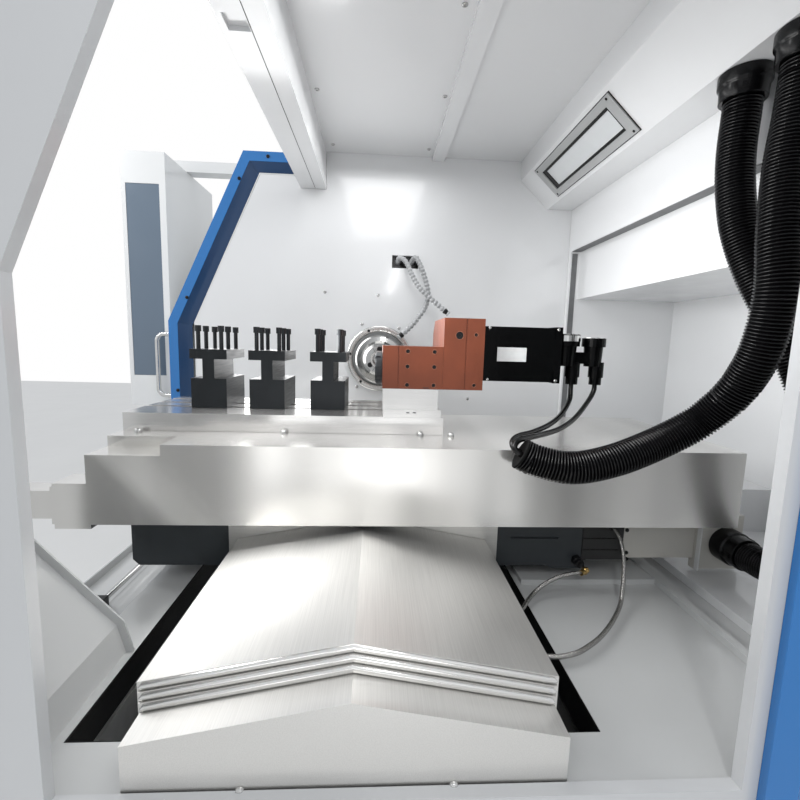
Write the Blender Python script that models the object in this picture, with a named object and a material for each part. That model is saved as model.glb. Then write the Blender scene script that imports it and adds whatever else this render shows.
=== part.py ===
"""Flat-bed turning lathe with gang tooling, built in metres with +Z up.

X runs along the spindle axis, from the closed headstock end to the end with the
service opening. The operator stands on the -Y side. The floor is Z = 0.
"""
import math

import bpy
import bmesh
from mathutils import Matrix, Vector

for old in list(bpy.data.objects):
    bpy.data.objects.remove(old, do_unlink=True)

# Clearances and sheet gauges
SEAT = 0.0003            # gap kept between two pieces that rest on each other
SHEET = 0.003            # enclosure sheet metal
WAY_SHEET = 0.0015       # stainless sheet of the way covers

# Enclosure, seen along X
RIGHT_X = 1.052
PILLAR_DEPTH = 0.016
LEFT_X = -(RIGHT_X + SEAT + PILLAR_DEPTH)
FRONT_Y = -0.680
REAR_Y = 0.595
RECESS_Y = 0.980
BASE_FOOT_Z = 0.100
BASE_TOP_Z = 0.543
SHOULDER_Z = 1.143       # where the front of the enclosure starts to slant back
CEILING_Z = 1.705
HEADER_Z = CEILING_Z - 0.116    # underside of the beam over the front opening
HEADER_Y = -0.322
HEADER_WIDTH = 0.084
SHOULDER_TOP_Y = -0.456
SLOPE_TOP_Z = HEADER_Z + 0.042
JAMB_X = 0.810           # where the front opening ends

# Chip deck beside the bed, and the slot in it that the saddle runs along
DECK_Z = 0.607
SLOT_Y0 = -0.425
SLOT_Y1 = 0.235
SLOT_END_X = 0.970

# Window and recess in the rear wall
SILL_Z = 0.625
WINDOW_TOP_Z = CEILING_Z - 0.288
RECESS_TOP_Z = WINDOW_TOP_Z - 0.1593

# Service opening in the end panel
OPENING_Y0 = -0.387
OPENING_Y1 = 0.352
OPENING_Z0 = 0.612
OPENING_Z1 = HEADER_Z - 0.004
OPENING_SLOPE_Y = -0.191

# Lamp duct under the roof: the upper and lower edge of its slanted face
LAMP_SLOPE = ((0.412, CEILING_Z - 0.061), (0.509, CEILING_Z - 0.149))
LAMP_X0 = 0.026
LAMP_X1 = 0.465

# Spindle
WALL_X = -0.090
SPINDLE_Y = -0.052
SPINDLE_Z = 1.036
CHUCK_RADIUS = 0.079
CHUCK_NOSE = 0.120       # how far the chuck stands out of the headstock wall
NOSE_RING_RADIUS = 0.112
NOSE_X = -0.066          # end of the headstock's neck, in front of the wall
SHAFT_RADIUS = 0.045
BORE_CLEARANCE = 0.0008  # radial play of a turning shaft in its bore
PORT_Y = 0.0295          # hose port in the headstock wall
PORT_Z = 1.3655

# Bed and Z axis
BED_Y = -0.080
BED_TOP_Z = 0.560
BED_HALF_WIDTH = 0.215
RAIL_SPREAD = 0.160      # each way rail's distance from the middle of the bed
RAIL_WIDTH = 0.028
RAIL_HEIGHT = 0.024
SCREW_RADIUS = 0.0125
Z_SCREW_Z = 0.640
Z_TRAVEL = 0.280
BEARING_X0 = 0.870       # the screw's far bearing
BEARING_X1 = 0.905
Z_MOTOR_FRAME = 0.090

# Saddle
SADDLE_X0 = 0.370
SADDLE_X1 = 0.610
SADDLE_FOOT_Z = 0.600
WING_Z = 0.642           # underside of the saddle's two wings
SADDLE_TOP_Z = 0.750
SADDLE_Y0 = -0.533
SADDLE_Y1 = 0.372

# Telescopic way covers over the bed
COVER_HALF_WIDTH = 0.2475
COVER_RIDGE_Z = 0.744
COVER_FALL = 0.046       # how far an eave lies under the ridge
COVER_SKIRT_Z = 0.636
STAGE_NARROWING = WAY_SHEET + SEAT
STAGE_DROP = 0.011
STAGE_LIP = 0.003        # how far each smaller stage shows past the larger one
LIP_DEPTH = 0.004        # the turned-in end of a stage, which wipes the next one
COVER_NEAR_X = 0.985
FIXED_COVER_X = 1.035

# Cross slide
SLIDE_X0 = 0.284
SLIDE_X1 = 0.678
SLIDE_Y0 = -0.569
SLIDE_Y1 = 0.644
SLIDE_BOTTOM_Z = 0.754
SLIDE_TOP_Z = 0.902
X_TRAVEL = 0.320
X_SCREW_Z = 0.700
X_SCREW_X = 0.490
X_SCREW_RADIUS = 0.010
JOURNAL_STEP = 0.002     # how much thinner a screw is in its bearings
RAIL_PITCH = 0.140       # between the two cross rails
CROSS_RAIL_Z = 0.7925    # underside of the cross rails
FRONT_BLOCK_Y = -0.193
REAR_BLOCK_Y = 0.190

# Slotted table and what is bolted to it
TABLE_X0 = 0.298
TABLE_X1 = 0.557
TABLE_Y0 = -0.568
TABLE_Y1 = 0.081
TABLE_THICKNESS = 0.0367
TABLE_TOP_Z = SLIDE_TOP_Z + TABLE_THICKNESS
SLOT_MOUTH = 0.014
SLOT_HEAD = 0.024
POST_Y = (-0.424, -0.300, -0.168)
POST_FRONT_X = (0.483, 0.480, 0.474)
POST_LENGTH = 0.130
HEAD_Y0 = -0.048         # driven tool head: front face and underside of its blocks
HEAD_Z = 0.9983
PLUG_X = 0.460           # the servo motor's two plugs
PLUG_Y = (0.391, 0.447)
PLUG_FOOT_Z = 1.008

# Front door
DOOR_Y = -0.776
DOOR_SLOPE_Y = -0.514
DOOR_THICKNESS = 0.031
DOOR_LENGTH = 0.920
DOOR_TRIM = 0.028
DOOR_EDGE_X = -0.140
DOOR_TRAVEL = 0.940
DOOR_BOTTOM_Z = 0.440
DOOR_TOP_Z = CEILING_Z + 0.001
CONSOLE_Y = -0.805       # back of the operator's console

# Hoses
CONDUIT = 0.058
CUFF = 0.078
CUFF_1 = (0.795, 0.548)  # the two cuffs that hang under the lamp duct
CUFF_2 = (0.685, 0.548)
CUFF_LENGTH = 0.0437
CUFF_Z = LAMP_SLOPE[1][1] - SEAT - CUFF_LENGTH
CUFF_3_X = 0.665         # mouth of the cuff on the saddle's cable box
CUFF_3_Y = 0.684
CUFF_3_Z = 0.690
CONDUIT_JOIN = (0.7725, 0.5224, 1.0265)
JOIN_DIRECTION = (-0.462, -0.253, -0.850)
MOUTH = (0.710, 0.199, 0.903)
MOUTH_FACES = (-0.138, -0.874, 0.466)


def material(name, colour, roughness, metallic=0.0, alpha=1.0):
    made = bpy.data.materials.new(name)
    made.use_nodes = True
    shader = made.node_tree.nodes["Principled BSDF"]
    shader.inputs["Base Color"].default_value = (*colour, 1.0)
    shader.inputs["Roughness"].default_value = roughness
    shader.inputs["Metallic"].default_value = metallic
    shader.inputs["Alpha"].default_value = alpha
    return made


WHITE = dict(colour=(0.86, 0.87, 0.87), roughness=0.32)
STAINLESS = dict(colour=(0.62, 0.61, 0.58), roughness=0.30, metallic=1.0)
GROUND_STEEL = dict(colour=(0.66, 0.66, 0.66), roughness=0.25, metallic=1.0)
CASTING = dict(colour=(0.055, 0.065, 0.075), roughness=0.45)
GREY_IRON = dict(colour=(0.30, 0.31, 0.31), roughness=0.55, metallic=0.2)
BLACK_OXIDE = dict(colour=(0.035, 0.038, 0.042), roughness=0.42, metallic=0.5)
COPPER_RED = dict(colour=(0.36, 0.13, 0.075), roughness=0.38, metallic=0.45)
BLACK_PLASTIC = dict(colour=(0.012, 0.012, 0.013), roughness=0.35)
BLUE = dict(colour=(0.03, 0.17, 0.52), roughness=0.35)


def make_object(name, shell, finish):
    bmesh.ops.remove_doubles(shell, verts=shell.verts, dist=1e-6)
    bmesh.ops.recalc_face_normals(shell, faces=shell.faces)
    mesh = bpy.data.meshes.new(name)
    shell.to_mesh(mesh)
    shell.free()
    made = bpy.data.objects.new(name, mesh)
    bpy.context.collection.objects.link(made)
    if finish:
        mesh.materials.append(material(name, **finish))
    return made


def point_on(axis, along, pair):
    """A 3-D point from its place along one axis and its two other coordinates."""
    if axis == "X":
        return Vector((along, pair[0], pair[1]))
    if axis == "Y":
        return Vector((pair[0], along, pair[1]))
    return Vector((pair[0], pair[1], along))


def prism(name, axis, outline, low, high, finish=None):
    """Extrude a closed outline along an axis. The outline gives the other two axes in order."""
    shell = bmesh.new()
    first = [shell.verts.new(point_on(axis, low, p)) for p in outline]
    last = [shell.verts.new(point_on(axis, high, p)) for p in outline]
    shell.faces.new(first)
    shell.faces.new(last[::-1])
    for i in range(len(outline)):
        j = (i + 1) % len(outline)
        shell.faces.new((first[j], first[i], last[i], last[j]))
    return make_object(name, shell, finish)


def box(name, low, high, finish=None):
    outline = [(low[1], low[2]), (high[1], low[2]), (high[1], high[2]), (low[1], high[2])]
    return prism(name, "X", outline, low[0], high[0], finish)


def turned(name, axis, centre, profile, finish=None, sides=32):
    """Turn a profile of (place along the axis, radius) pairs; both ends close on the axis."""
    shell = bmesh.new()
    rings = []
    for along, radius in profile:
        ring = []
        for i in range(sides):
            angle = 2 * math.pi * i / sides
            pair = (centre[0] + radius * math.cos(angle), centre[1] + radius * math.sin(angle))
            ring.append(shell.verts.new(point_on(axis, along, pair)))
        rings.append(ring)
    for near, far in zip(rings, rings[1:]):
        for i in range(sides):
            j = (i + 1) % sides
            shell.faces.new((near[i], near[j], far[j], far[i]))
    shell.faces.new(rings[0])
    shell.faces.new(rings[-1][::-1])
    made = make_object(name, shell, finish)
    made.data.shade_smooth()
    made.data.set_sharp_from_angle(angle=math.radians(35))
    return made


def rod(name, axis, centre, low, high, radius, finish=None, sides=24):
    return turned(name, axis, centre, [(low, radius), (high, radius)], finish, sides)


def combine(target, others, operation):
    """Apply a Boolean with each of the other objects, then remove them."""
    for other in others:
        step = target.modifiers.new(operation.lower(), "BOOLEAN")
        step.operation = operation
        step.solver = "EXACT"
        step.object = other
    graph = bpy.context.evaluated_depsgraph_get()
    graph.update()
    result = bpy.data.meshes.new_from_object(target.evaluated_get(graph))
    target.modifiers.clear()
    result.name = target.name
    target.data = result
    for other in others:
        bpy.data.objects.remove(other, do_unlink=True)
    return target


def weld(target, *others):
    return combine(target, others, "UNION")


def carve(target, *cutters):
    return combine(target, cutters, "DIFFERENCE")


def smooth(target, degrees=35):
    target.data.shade_smooth()
    target.data.set_sharp_from_angle(angle=math.radians(degrees))
    return target


def soften(target, width, segments=2, degrees=40):
    """Round the edges of a casting or a moulding."""
    step = target.modifiers.new("rounded_edges", "BEVEL")
    step.width = width
    step.segments = segments
    step.limit_method = "ANGLE"
    step.angle_limit = math.radians(degrees)
    return target


def offset_line(points, distance):
    """The same open line moved sideways by a distance, mitred at its corners."""
    moved = []
    for i, point in enumerate(points):
        here = Vector(point)
        sides = []
        if i > 0:
            sides.append((here - Vector(points[i - 1])).normalized())
        if i < len(points) - 1:
            sides.append((Vector(points[i + 1]) - here).normalized())
        normals = [Vector((-s.y, s.x)) for s in sides]
        mean = sum(normals, Vector((0, 0))).normalized()
        moved.append(tuple(here + mean * distance / mean.dot(normals[0])))
    return moved


def folded_sheet(name, axis, line, gauge, low, high, finish=None):
    """A sheet bent along an open line, its thickness laid to the left of the line."""
    outline = list(line) + offset_line(line, gauge)[::-1]
    return prism(name, axis, outline, low, high, finish)


def smooth_route(route, spacing):
    """Even points along a smooth curve, with the first and the last piece of the route kept straight."""
    knots = [Vector(p) for p in route]
    fine = []
    for a, b, c, d in zip(knots, knots[1:], knots[2:], knots[3:]):
        for step in range(40):
            t = step / 40
            point = 0.5 * (2 * b + (c - a) * t + (2 * a - 5 * b + 4 * c - d) * t * t
                           + (3 * b - a - 3 * c + d) * t ** 3)
            fine.append(point)
    fine.append(knots[-2])
    lengths = [0.0]
    for a, b in zip(fine, fine[1:]):
        lengths.append(lengths[-1] + (b - a).length)
    count = max(4, round(lengths[-1] / spacing))
    even, at = [knots[0]], 0
    for k in range(count + 1):
        goal = lengths[-1] * k / count
        while at < len(fine) - 2 and lengths[at + 1] < goal:
            at += 1
        share = (goal - lengths[at]) / max(lengths[at + 1] - lengths[at], 1e-9)
        even.append(fine[at].lerp(fine[at + 1], min(max(share, 0.0), 1.0)))
    return even + [knots[-1]]


def hose(name, route, diameter, finish, resolution=3):
    line = bpy.data.curves.new(name, "CURVE")
    line.dimensions = "3D"
    line.bevel_depth = diameter / 2
    line.bevel_resolution = resolution
    line.use_fill_caps = True
    points = smooth_route(route, min(2.5 * diameter, 0.050))
    spline = line.splines.new("POLY")
    spline.points.add(len(points) - 1)
    for knot, point in zip(spline.points, points):
        knot.co = (*point, 1.0)
    line.materials.append(material(name, **finish))
    made = bpy.data.objects.new(name, line)
    bpy.context.collection.objects.link(made)
    return made


def rectangle(low, high):
    return [(low[0], low[1]), (high[0], low[1]), (high[0], high[1]), (low[0], high[1])]


def build_base():
    """Welded base with a well for the bed and six levelling feet."""
    outline = rectangle((FRONT_Y, BASE_FOOT_Z), (RECESS_Y, BASE_TOP_Z))
    base = prism("base", "X", outline, LEFT_X, RIGHT_X, GREY_IRON)
    well = box("well", (WALL_X + 0.005, BED_Y - 0.35, 0.360), (COVER_NEAR_X + 0.007, BED_Y + 0.32, 1.0))
    kick = prism("kick", "X", rectangle((FRONT_Y - 0.02, BASE_FOOT_Z - 0.02), (FRONT_Y + 0.05, 0.19)),
                 LEFT_X - 0.01, RIGHT_X + 0.02)
    carve(base, well, kick)
    feet = []
    for x in (LEFT_X + 0.16, 0.0, RIGHT_X - 0.16):
        for y in (FRONT_Y + 0.14, RECESS_Y - 0.12):
            profile = [(0.0, 0.050), (0.018, 0.050), (0.030, 0.022), (0.050, 0.022),
                       (0.050, 0.034), (0.070, 0.034), (0.070, 0.018), (BASE_FOOT_Z + 0.01, 0.018)]
            feet.append(turned("foot", "Z", (x, y), profile, None, 16))
    return weld(base, *feet)


def build_bed():
    """Cast bed with its two way rails and the screw's end bearings."""
    x0 = WALL_X + 0.012
    x1 = COVER_NEAR_X - 0.005
    well_floor = 0.360 + SEAT
    side, waist = BED_HALF_WIDTH, BED_HALF_WIDTH - 0.03
    half_section = [(0.26, well_floor), (0.26, well_floor + 0.03), (waist, well_floor + 0.07),
                    (waist, BED_TOP_Z - 0.06), (side, BED_TOP_Z - 0.03), (side, BED_TOP_Z),
                    (0.09, BED_TOP_Z), (0.06, BED_TOP_Z - 0.03)]
    outline = [(BED_Y + y, z) for y, z in half_section] + [(BED_Y - y, z) for y, z in half_section[::-1]]
    bed = prism("bed", "X", outline, x0, x1, GREY_IRON)
    rails = []
    half = RAIL_WIDTH / 2
    foot, top = BED_TOP_Z - 0.002, BED_TOP_Z + RAIL_HEIGHT
    for side in (-1, 1):
        y = BED_Y + side * RAIL_SPREAD
        edge = [(half, foot), (half, foot + 0.006), (half - 0.005, foot + 0.011),
                (half - 0.005, top - 0.010), (half, top - 0.006), (half, top)]
        section = [(y + e, z) for e, z in edge] + [(y - e, z) for e, z in edge[::-1]]
        rails.append(prism("rail", "X", section, x0 + 0.004, x1 - 0.07))
    bearings = []
    for low, high in ((x0 + 0.003, x0 + 0.048), (BEARING_X0, BEARING_X1)):
        block = box("bearing", (low, BED_Y - 0.05, BED_TOP_Z - 0.04), (high, BED_Y + 0.05, Z_SCREW_Z + 0.038))
        bearings.append(block)
    weld(bed, *rails, *bearings)
    journal = SCREW_RADIUS - JOURNAL_STEP
    bore = rod("bore", "X", (BED_Y, Z_SCREW_Z), x0 - 0.01, x1 + 0.01, journal + SEAT, None, 32)
    return carve(bed, bore)


def set_origin(target, point):
    """Move an object's origin to a point without moving its shape."""
    target.data.transform(Matrix.Translation(-Vector(point)))
    target.location = point
    return target


def build_z_drive():
    """Ball screw in the middle of the bed, and the servo motor at its free end."""
    x0 = WALL_X + 0.0155
    journal = SCREW_RADIUS - JOURNAL_STEP
    screw = turned("z_screw", "X", (BED_Y, Z_SCREW_Z),
                   [(x0, journal), (x0 + 0.048, journal), (x0 + 0.049, SCREW_RADIUS),
                    (BEARING_X0 - 0.001, SCREW_RADIUS), (BEARING_X0, journal), (BEARING_X1 + 0.008, journal)],
                   GROUND_STEEL, 24)
    set_origin(screw, (SADDLE_X0, BED_Y, Z_SCREW_Z))
    half = Z_MOTOR_FRAME / 2
    x1 = BEARING_X1 + SEAT
    motor = box("z_servo_motor", (x1, BED_Y - half, Z_SCREW_Z - half),
                (x1 + 0.010, BED_Y + half, Z_SCREW_Z + half), BLACK_PLASTIC)
    body = box("body", (x1 + 0.009, BED_Y - half + 0.004, Z_SCREW_Z - half + 0.004),
               (x1 + 0.100, BED_Y + half - 0.004, Z_SCREW_Z + half - 0.004))
    weld(motor, body)
    carve(motor, rod("pocket", "X", (BED_Y, Z_SCREW_Z), x1 - 0.01, x1 + 0.020, SCREW_RADIUS + 0.006))


def gabled(half_width, ridge_z, middle_y, skirt_z):
    """A way cover's line in Y and Z: up one skirt, over the ridge and down the other."""
    eave_z = ridge_z - COVER_FALL
    return [(middle_y - half_width, skirt_z), (middle_y - half_width, eave_z), (middle_y, ridge_z),
            (middle_y + half_width, eave_z), (middle_y + half_width, skirt_z)]


def stage_line(stage, clearance=0.0):
    return gabled(COVER_HALF_WIDTH - stage * STAGE_NARROWING + clearance,
                  COVER_RIDGE_Z - stage * STAGE_DROP + clearance, BED_Y, COVER_SKIRT_Z)


def cover_stage(name, stage, low, high, lip_at=None):
    """One stage of the cover. Its open end is turned in down to the next stage."""
    cover = folded_sheet(name, "X", stage_line(stage), -WAY_SHEET, low, high, STAINLESS)
    if lip_at is not None:
        ends = sorted((lip_at, lip_at + (LIP_DEPTH if lip_at == low else -LIP_DEPTH)))
        outline = stage_line(stage) + stage_line(stage + 1, 1.3 * SEAT)[::-1]
        weld(cover, prism("lip", "X", outline, ends[0], ends[1]))
    return cover


def build_way_covers():
    """Gabled stainless covers that telescope over the bed on both sides of the saddle."""
    near = COVER_NEAR_X
    cover_stage("z_cover_large", 0, SADDLE_X1 + SEAT, near, near)
    cover_stage("z_cover_mid_1", 1, SADDLE_X1 + 0.045, near + STAGE_LIP, near + STAGE_LIP)
    cover_stage("z_cover_mid_2", 2, SADDLE_X1 + 0.055, near + 2 * STAGE_LIP, near + 2 * STAGE_LIP)
    fixed = cover_stage("z_cover_fixed", 3, SADDLE_X1 + 0.090, FIXED_COVER_X)
    line = gabled(COVER_HALF_WIDTH - 3 * STAGE_NARROWING, COVER_RIDGE_Z - 3 * STAGE_DROP,
                  BED_Y, DECK_Z + SEAT)
    weld(fixed, prism("front", "X", line, FIXED_COVER_X - 0.003, FIXED_COVER_X),
         folded_sheet("foot", "X", line, -WAY_SHEET, SLOT_END_X + 0.004, FIXED_COVER_X - 0.001))
    reach = SADDLE_X0 - WALL_X - Z_TRAVEL - 0.012
    far = SADDLE_X0 - reach
    cover_stage("head_cover_large", 0, far, SADDLE_X0 - SEAT, far)
    cover_stage("head_cover_mid", 1, SADDLE_X0 - 1.82 * reach, SADDLE_X0 - 0.87 * reach, SADDLE_X0 - 1.82 * reach)
    cover_stage("head_cover_fixed", 2, WALL_X + SEAT, WALL_X + reach)


def build_deck():
    """Folded chip deck around the bed, with its sloped front, sill and the chute by the fixed panel."""
    x0, x1 = WALL_X + SEAT, RIGHT_X - 0.016
    flat = prism("pan_deck", "Z", rectangle((x0, SLOT_Y0 - 0.075), (x1, REAR_Y - SEAT)),
                 DECK_Z - SHEET, DECK_Z, WHITE)
    rim = prism("rim", "Z", rectangle((x0 + 0.002, SLOT_Y0 - SHEET), (SLOT_END_X + SHEET, SLOT_Y1 + SHEET)),
                DECK_Z - 0.030, DECK_Z - 0.001)
    front_edge = SLOT_Y0 - 0.074
    sill_y = FRONT_Y + 2 * SHEET + SEAT
    sill_z = BASE_TOP_Z + SHEET + SEAT
    front_profile = [(front_edge, DECK_Z), (front_edge - 0.100, sill_z), (sill_y, sill_z), (sill_y, sill_z + 0.018)]
    front = folded_sheet("front", "X", front_profile, SHEET, x0, x1)
    step = prism("step", "X", rectangle((SLOT_Y1 + 0.010, DECK_Z - 0.001), (REAR_Y - 0.062, DECK_Z + 0.010)),
                 x0, SADDLE_X1 + 0.013)
    bar = prism("bar", "X", rectangle((REAR_Y - 0.067, DECK_Z - 0.001), (REAR_Y - 0.050, DECK_Z + 0.012)), x0, x1)
    chute_line = [(SLOT_Y0 - 0.012, DECK_Z - 0.001), (SLOT_Y0 - 0.024, DECK_Z + 0.045),
                  (FRONT_Y + 2 * SHEET, DECK_Z + 0.285)]
    chute = folded_sheet("chute", "X", chute_line, SHEET, JAMB_X + 0.001, SLOT_END_X + 0.005)
    flange = folded_sheet("flange", "X", chute_line, -0.012, JAMB_X + 0.0005, JAMB_X + 0.0035)
    weld(flat, rim, front, step, bar, chute, flange)
    slot = box("slot", (x0 - 0.01, SLOT_Y0, DECK_Z - 0.1), (SLOT_END_X, SLOT_Y1, DECK_Z + 0.001))
    half = Z_MOTOR_FRAME / 2 + 0.006
    motor_notch = box("motor_notch", (SLOT_END_X - 0.01, BED_Y - half, DECK_Z - 0.1),
                      (BEARING_X1 + 0.108, BED_Y + half, DECK_Z + 0.001))
    carve(flat, slot, motor_notch)


def build_headstock():
    """Headstock casting on the base, with the nose that reaches through the wall."""
    x0, x1 = -0.620, WALL_X - SHEET - SEAT
    top = SPINDLE_Z + 0.165
    outline = [(SPINDLE_Y - 0.230, BASE_TOP_Z + SEAT), (SPINDLE_Y + 0.230, BASE_TOP_Z + SEAT),
               (SPINDLE_Y + 0.230, BASE_TOP_Z + 0.060), (SPINDLE_Y + 0.190, BASE_TOP_Z + 0.110),
               (SPINDLE_Y + 0.165, SPINDLE_Z + 0.080), (SPINDLE_Y + 0.110, top), (SPINDLE_Y - 0.110, top),
               (SPINDLE_Y - 0.165, SPINDLE_Z + 0.080), (SPINDLE_Y - 0.190, BASE_TOP_Z + 0.110),
               (SPINDLE_Y - 0.230, BASE_TOP_Z + 0.060)]
    head = prism("headstock", "X", outline, x0, x1, GREY_IRON)
    neck = turned("neck", "X", (SPINDLE_Y, SPINDLE_Z),
                  [(x1 - 0.005, 0.074), (WALL_X + SEAT, 0.074), (WALL_X + SEAT, NOSE_RING_RADIUS),
                   (WALL_X + 0.010, NOSE_RING_RADIUS), (WALL_X + 0.014, NOSE_RING_RADIUS - 0.004),
                   (WALL_X + 0.014, 0.092), (NOSE_X, 0.088)], None, 48)
    motor = turned("motor", "X", (SPINDLE_Y, SPINDLE_Z), [(x0 - 0.150, 0.120), (x0 - 0.140, 0.130),
                                                          (x0 + 0.002, 0.130)], None, 32)
    weld(head, neck, motor)
    bore = rod("bore", "X", (SPINDLE_Y, SPINDLE_Z), x0 - 0.2, NOSE_X + 0.01, SHAFT_RADIUS + BORE_CLEARANCE, None, 32)
    carve(head, bore)


def build_spindle():
    """Turning spindle and the collet chuck on its nose."""
    axis = (SPINDLE_Y, SPINDLE_Z)
    shaft = turned("spindle", "X", axis, [(-0.800, 0.030), (-0.790, 0.060), (-0.7705, 0.060),
                                          (-0.7705, SHAFT_RADIUS), (NOSE_X, SHAFT_RADIUS)], GROUND_STEEL, 32)
    set_origin(shaft, (NOSE_X, *axis))
    face = WALL_X + CHUCK_NOSE
    chuck = turned("chuck", "X", axis,
                   [(NOSE_X + SEAT, 0.060), (NOSE_X + 0.012, 0.060), (NOSE_X + 0.012, CHUCK_RADIUS - 0.003),
                    (NOSE_X + 0.015, CHUCK_RADIUS), (face - 0.034, CHUCK_RADIUS),
                    (face - 0.028, CHUCK_RADIUS - 0.005), (face - 0.026, 0.060), (face - 0.010, 0.052),
                    (face, 0.044), (face, 0.021), (face - 0.050, 0.021)], GROUND_STEEL, 48)
    holes = []
    for i in range(3):
        angle = math.radians(90 + 120 * i)
        place = (SPINDLE_Y + 0.034 * math.cos(angle), SPINDLE_Z + 0.034 * math.sin(angle))
        holes.append(rod("hole", "X", place, face - 0.030, face + 0.01, 0.0085, None, 12))
    carve(chuck, *holes)
    smooth(chuck)
    set_origin(chuck, (NOSE_X, *axis))


def build_headstock_wall():
    """Glossy partition between the headstock and the work area, with the spindle hole and hose port."""
    low, top = BASE_TOP_Z + SEAT, CEILING_Z - SEAT
    y0, y1 = FRONT_Y + SHEET + SEAT, REAR_Y - SEAT
    slope_y = SHOULDER_TOP_Y + SHEET
    outline = [(y0, low), (y0, SHOULDER_Z - 0.001), (slope_y, SLOPE_TOP_Z - SHEET - 0.001),
               (HEADER_Y - SEAT, SLOPE_TOP_Z - SHEET - 0.001), (HEADER_Y - SEAT, HEADER_Z - SEAT),
               (HEADER_Y + HEADER_WIDTH + SEAT, HEADER_Z - SEAT), (HEADER_Y + HEADER_WIDTH + SEAT, top),
               (y1, top), (y1, low)]
    wall = prism("headstock_wall", "X", outline, WALL_X - SHEET, WALL_X, WHITE)
    port_y, port_z = (PORT_Y - 0.045, PORT_Y + 0.045), (PORT_Z - 0.021, PORT_Z + 0.021)
    back = box("back", (WALL_X - 0.045, port_y[0] - 0.008, port_z[0] - 0.008),
               (WALL_X - 0.001, port_y[1] + 0.008, port_z[1] + 0.008))
    weld(wall, back)
    port = box("port", (WALL_X - 0.040, port_y[0], port_z[0]), (WALL_X + 0.01, port_y[1], port_z[1]))
    hole = rod("hole", "X", (SPINDLE_Y, SPINDLE_Z), WALL_X - 0.02, WALL_X + 0.02, 0.0745 + SEAT, None, 48)
    carve(wall, port, hole)


def build_rear_wall():
    """Rear wall with its window and the recess that the slide backs into."""
    low = BASE_TOP_Z + SEAT
    skin = REAR_Y + 0.036
    outline = [(REAR_Y, low), (RECESS_Y, low), (RECESS_Y, RECESS_TOP_Z + 0.005), (skin, RECESS_TOP_Z + 0.005),
               (skin, CEILING_Z - SEAT), (REAR_Y, CEILING_Z - SEAT)]
    wall = prism("rear_wall", "X", outline, WALL_X + SEAT, RIGHT_X - SHEET - SEAT, WHITE)
    x0, x1 = WALL_X + 0.020, RIGHT_X - 0.030
    recess = box("recess", (x0, REAR_Y - 0.01, SILL_Z), (x1, RECESS_Y - SHEET, RECESS_TOP_Z))
    window = box("window", (x0, REAR_Y - 0.01, SILL_Z), (x1, skin - 0.005, WINDOW_TOP_Z))
    carve(wall, recess, window)
    ledge = box("ledge", (x0 - 0.001, 0.740, SILL_Z - 0.001), (0.400, RECESS_Y - 0.002, 0.739))
    shelf = box("shelf", (x0 - 0.001, 0.860, 0.738), (0.260, RECESS_Y - 0.002, SLIDE_BOTTOM_Z - 0.006))
    weld(wall, ledge, shelf)


def build_roof():
    """Roof sheet with its stiffening rib and the box beam over the front opening."""
    x0, x1 = LEFT_X + SHEET + SEAT, RIGHT_X - SHEET - SEAT
    roof = prism("roof_panel", "X", rectangle((HEADER_Y, CEILING_Z), (REAR_Y + 0.036, CEILING_Z + 0.017)),
                 x0, x1, WHITE)
    beam = prism("beam", "X", rectangle((HEADER_Y, HEADER_Z), (HEADER_Y + HEADER_WIDTH, CEILING_Z + 0.001)), x0, x1)
    rib = prism("rib", "X", rectangle((0.109, CEILING_Z - 0.012), (0.150, CEILING_Z + 0.001)), WALL_X + SEAT, x1)
    weld(roof, beam, rib)
    recess = box("recess", (0.655, -0.312, HEADER_Z - 0.01), (0.695, -0.276, HEADER_Z + 0.008))
    carve(roof, recess)


def build_lamp():
    """Chamfered lamp duct under the roof's rear edge, with the flush lamp in its slanted face."""
    x0, x1 = WALL_X + SEAT, RIGHT_X - SHEET - SEAT
    high, low = Vector(LAMP_SLOPE[0]), Vector(LAMP_SLOPE[1])
    outline = [(high.x - 0.002, CEILING_Z - SEAT), tuple(high), tuple(low), (REAR_Y - SEAT, low.y),
               (REAR_Y - SEAT, CEILING_Z - SEAT)]
    duct = prism("lamp_beam", "X", outline, x0, x1, WHITE)
    down = (low - high).normalized()
    out = Vector((down.y, -down.x))
    if out.y > 0:
        out = -out

    def on_slope(name, x_pair, share_pair, lift_pair, finish=None):
        corners = []
        for share, lift in ((share_pair[0], lift_pair[0]), (share_pair[1], lift_pair[0]),
                            (share_pair[1], lift_pair[1]), (share_pair[0], lift_pair[1])):
            corners.append(tuple(high.lerp(low, share) + out * lift))
        return prism(name, "X", corners, x_pair[0], x_pair[1], finish)

    length = LAMP_X1 - LAMP_X0
    carve(duct, on_slope("pocket", (LAMP_X0 + 0.022, LAMP_X1 - 0.022), (0.20, 0.80), (-0.020, 0.01)))
    frame = on_slope("lamp_frame", (LAMP_X0, LAMP_X1), (0.10, 0.90), (SEAT, 0.005), GREY_IRON)
    inner_x = (LAMP_X0 + 0.028, LAMP_X0 + length - 0.028)
    carve(frame, on_slope("opening", inner_x, (0.24, 0.76), (-0.01, 0.02)))
    on_slope("lamp_glass", (LAMP_X0 + 0.023, LAMP_X1 - 0.023), (0.21, 0.79), (-0.006, 0.0),
             dict(colour=(0.92, 0.95, 0.97), roughness=0.1))


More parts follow.
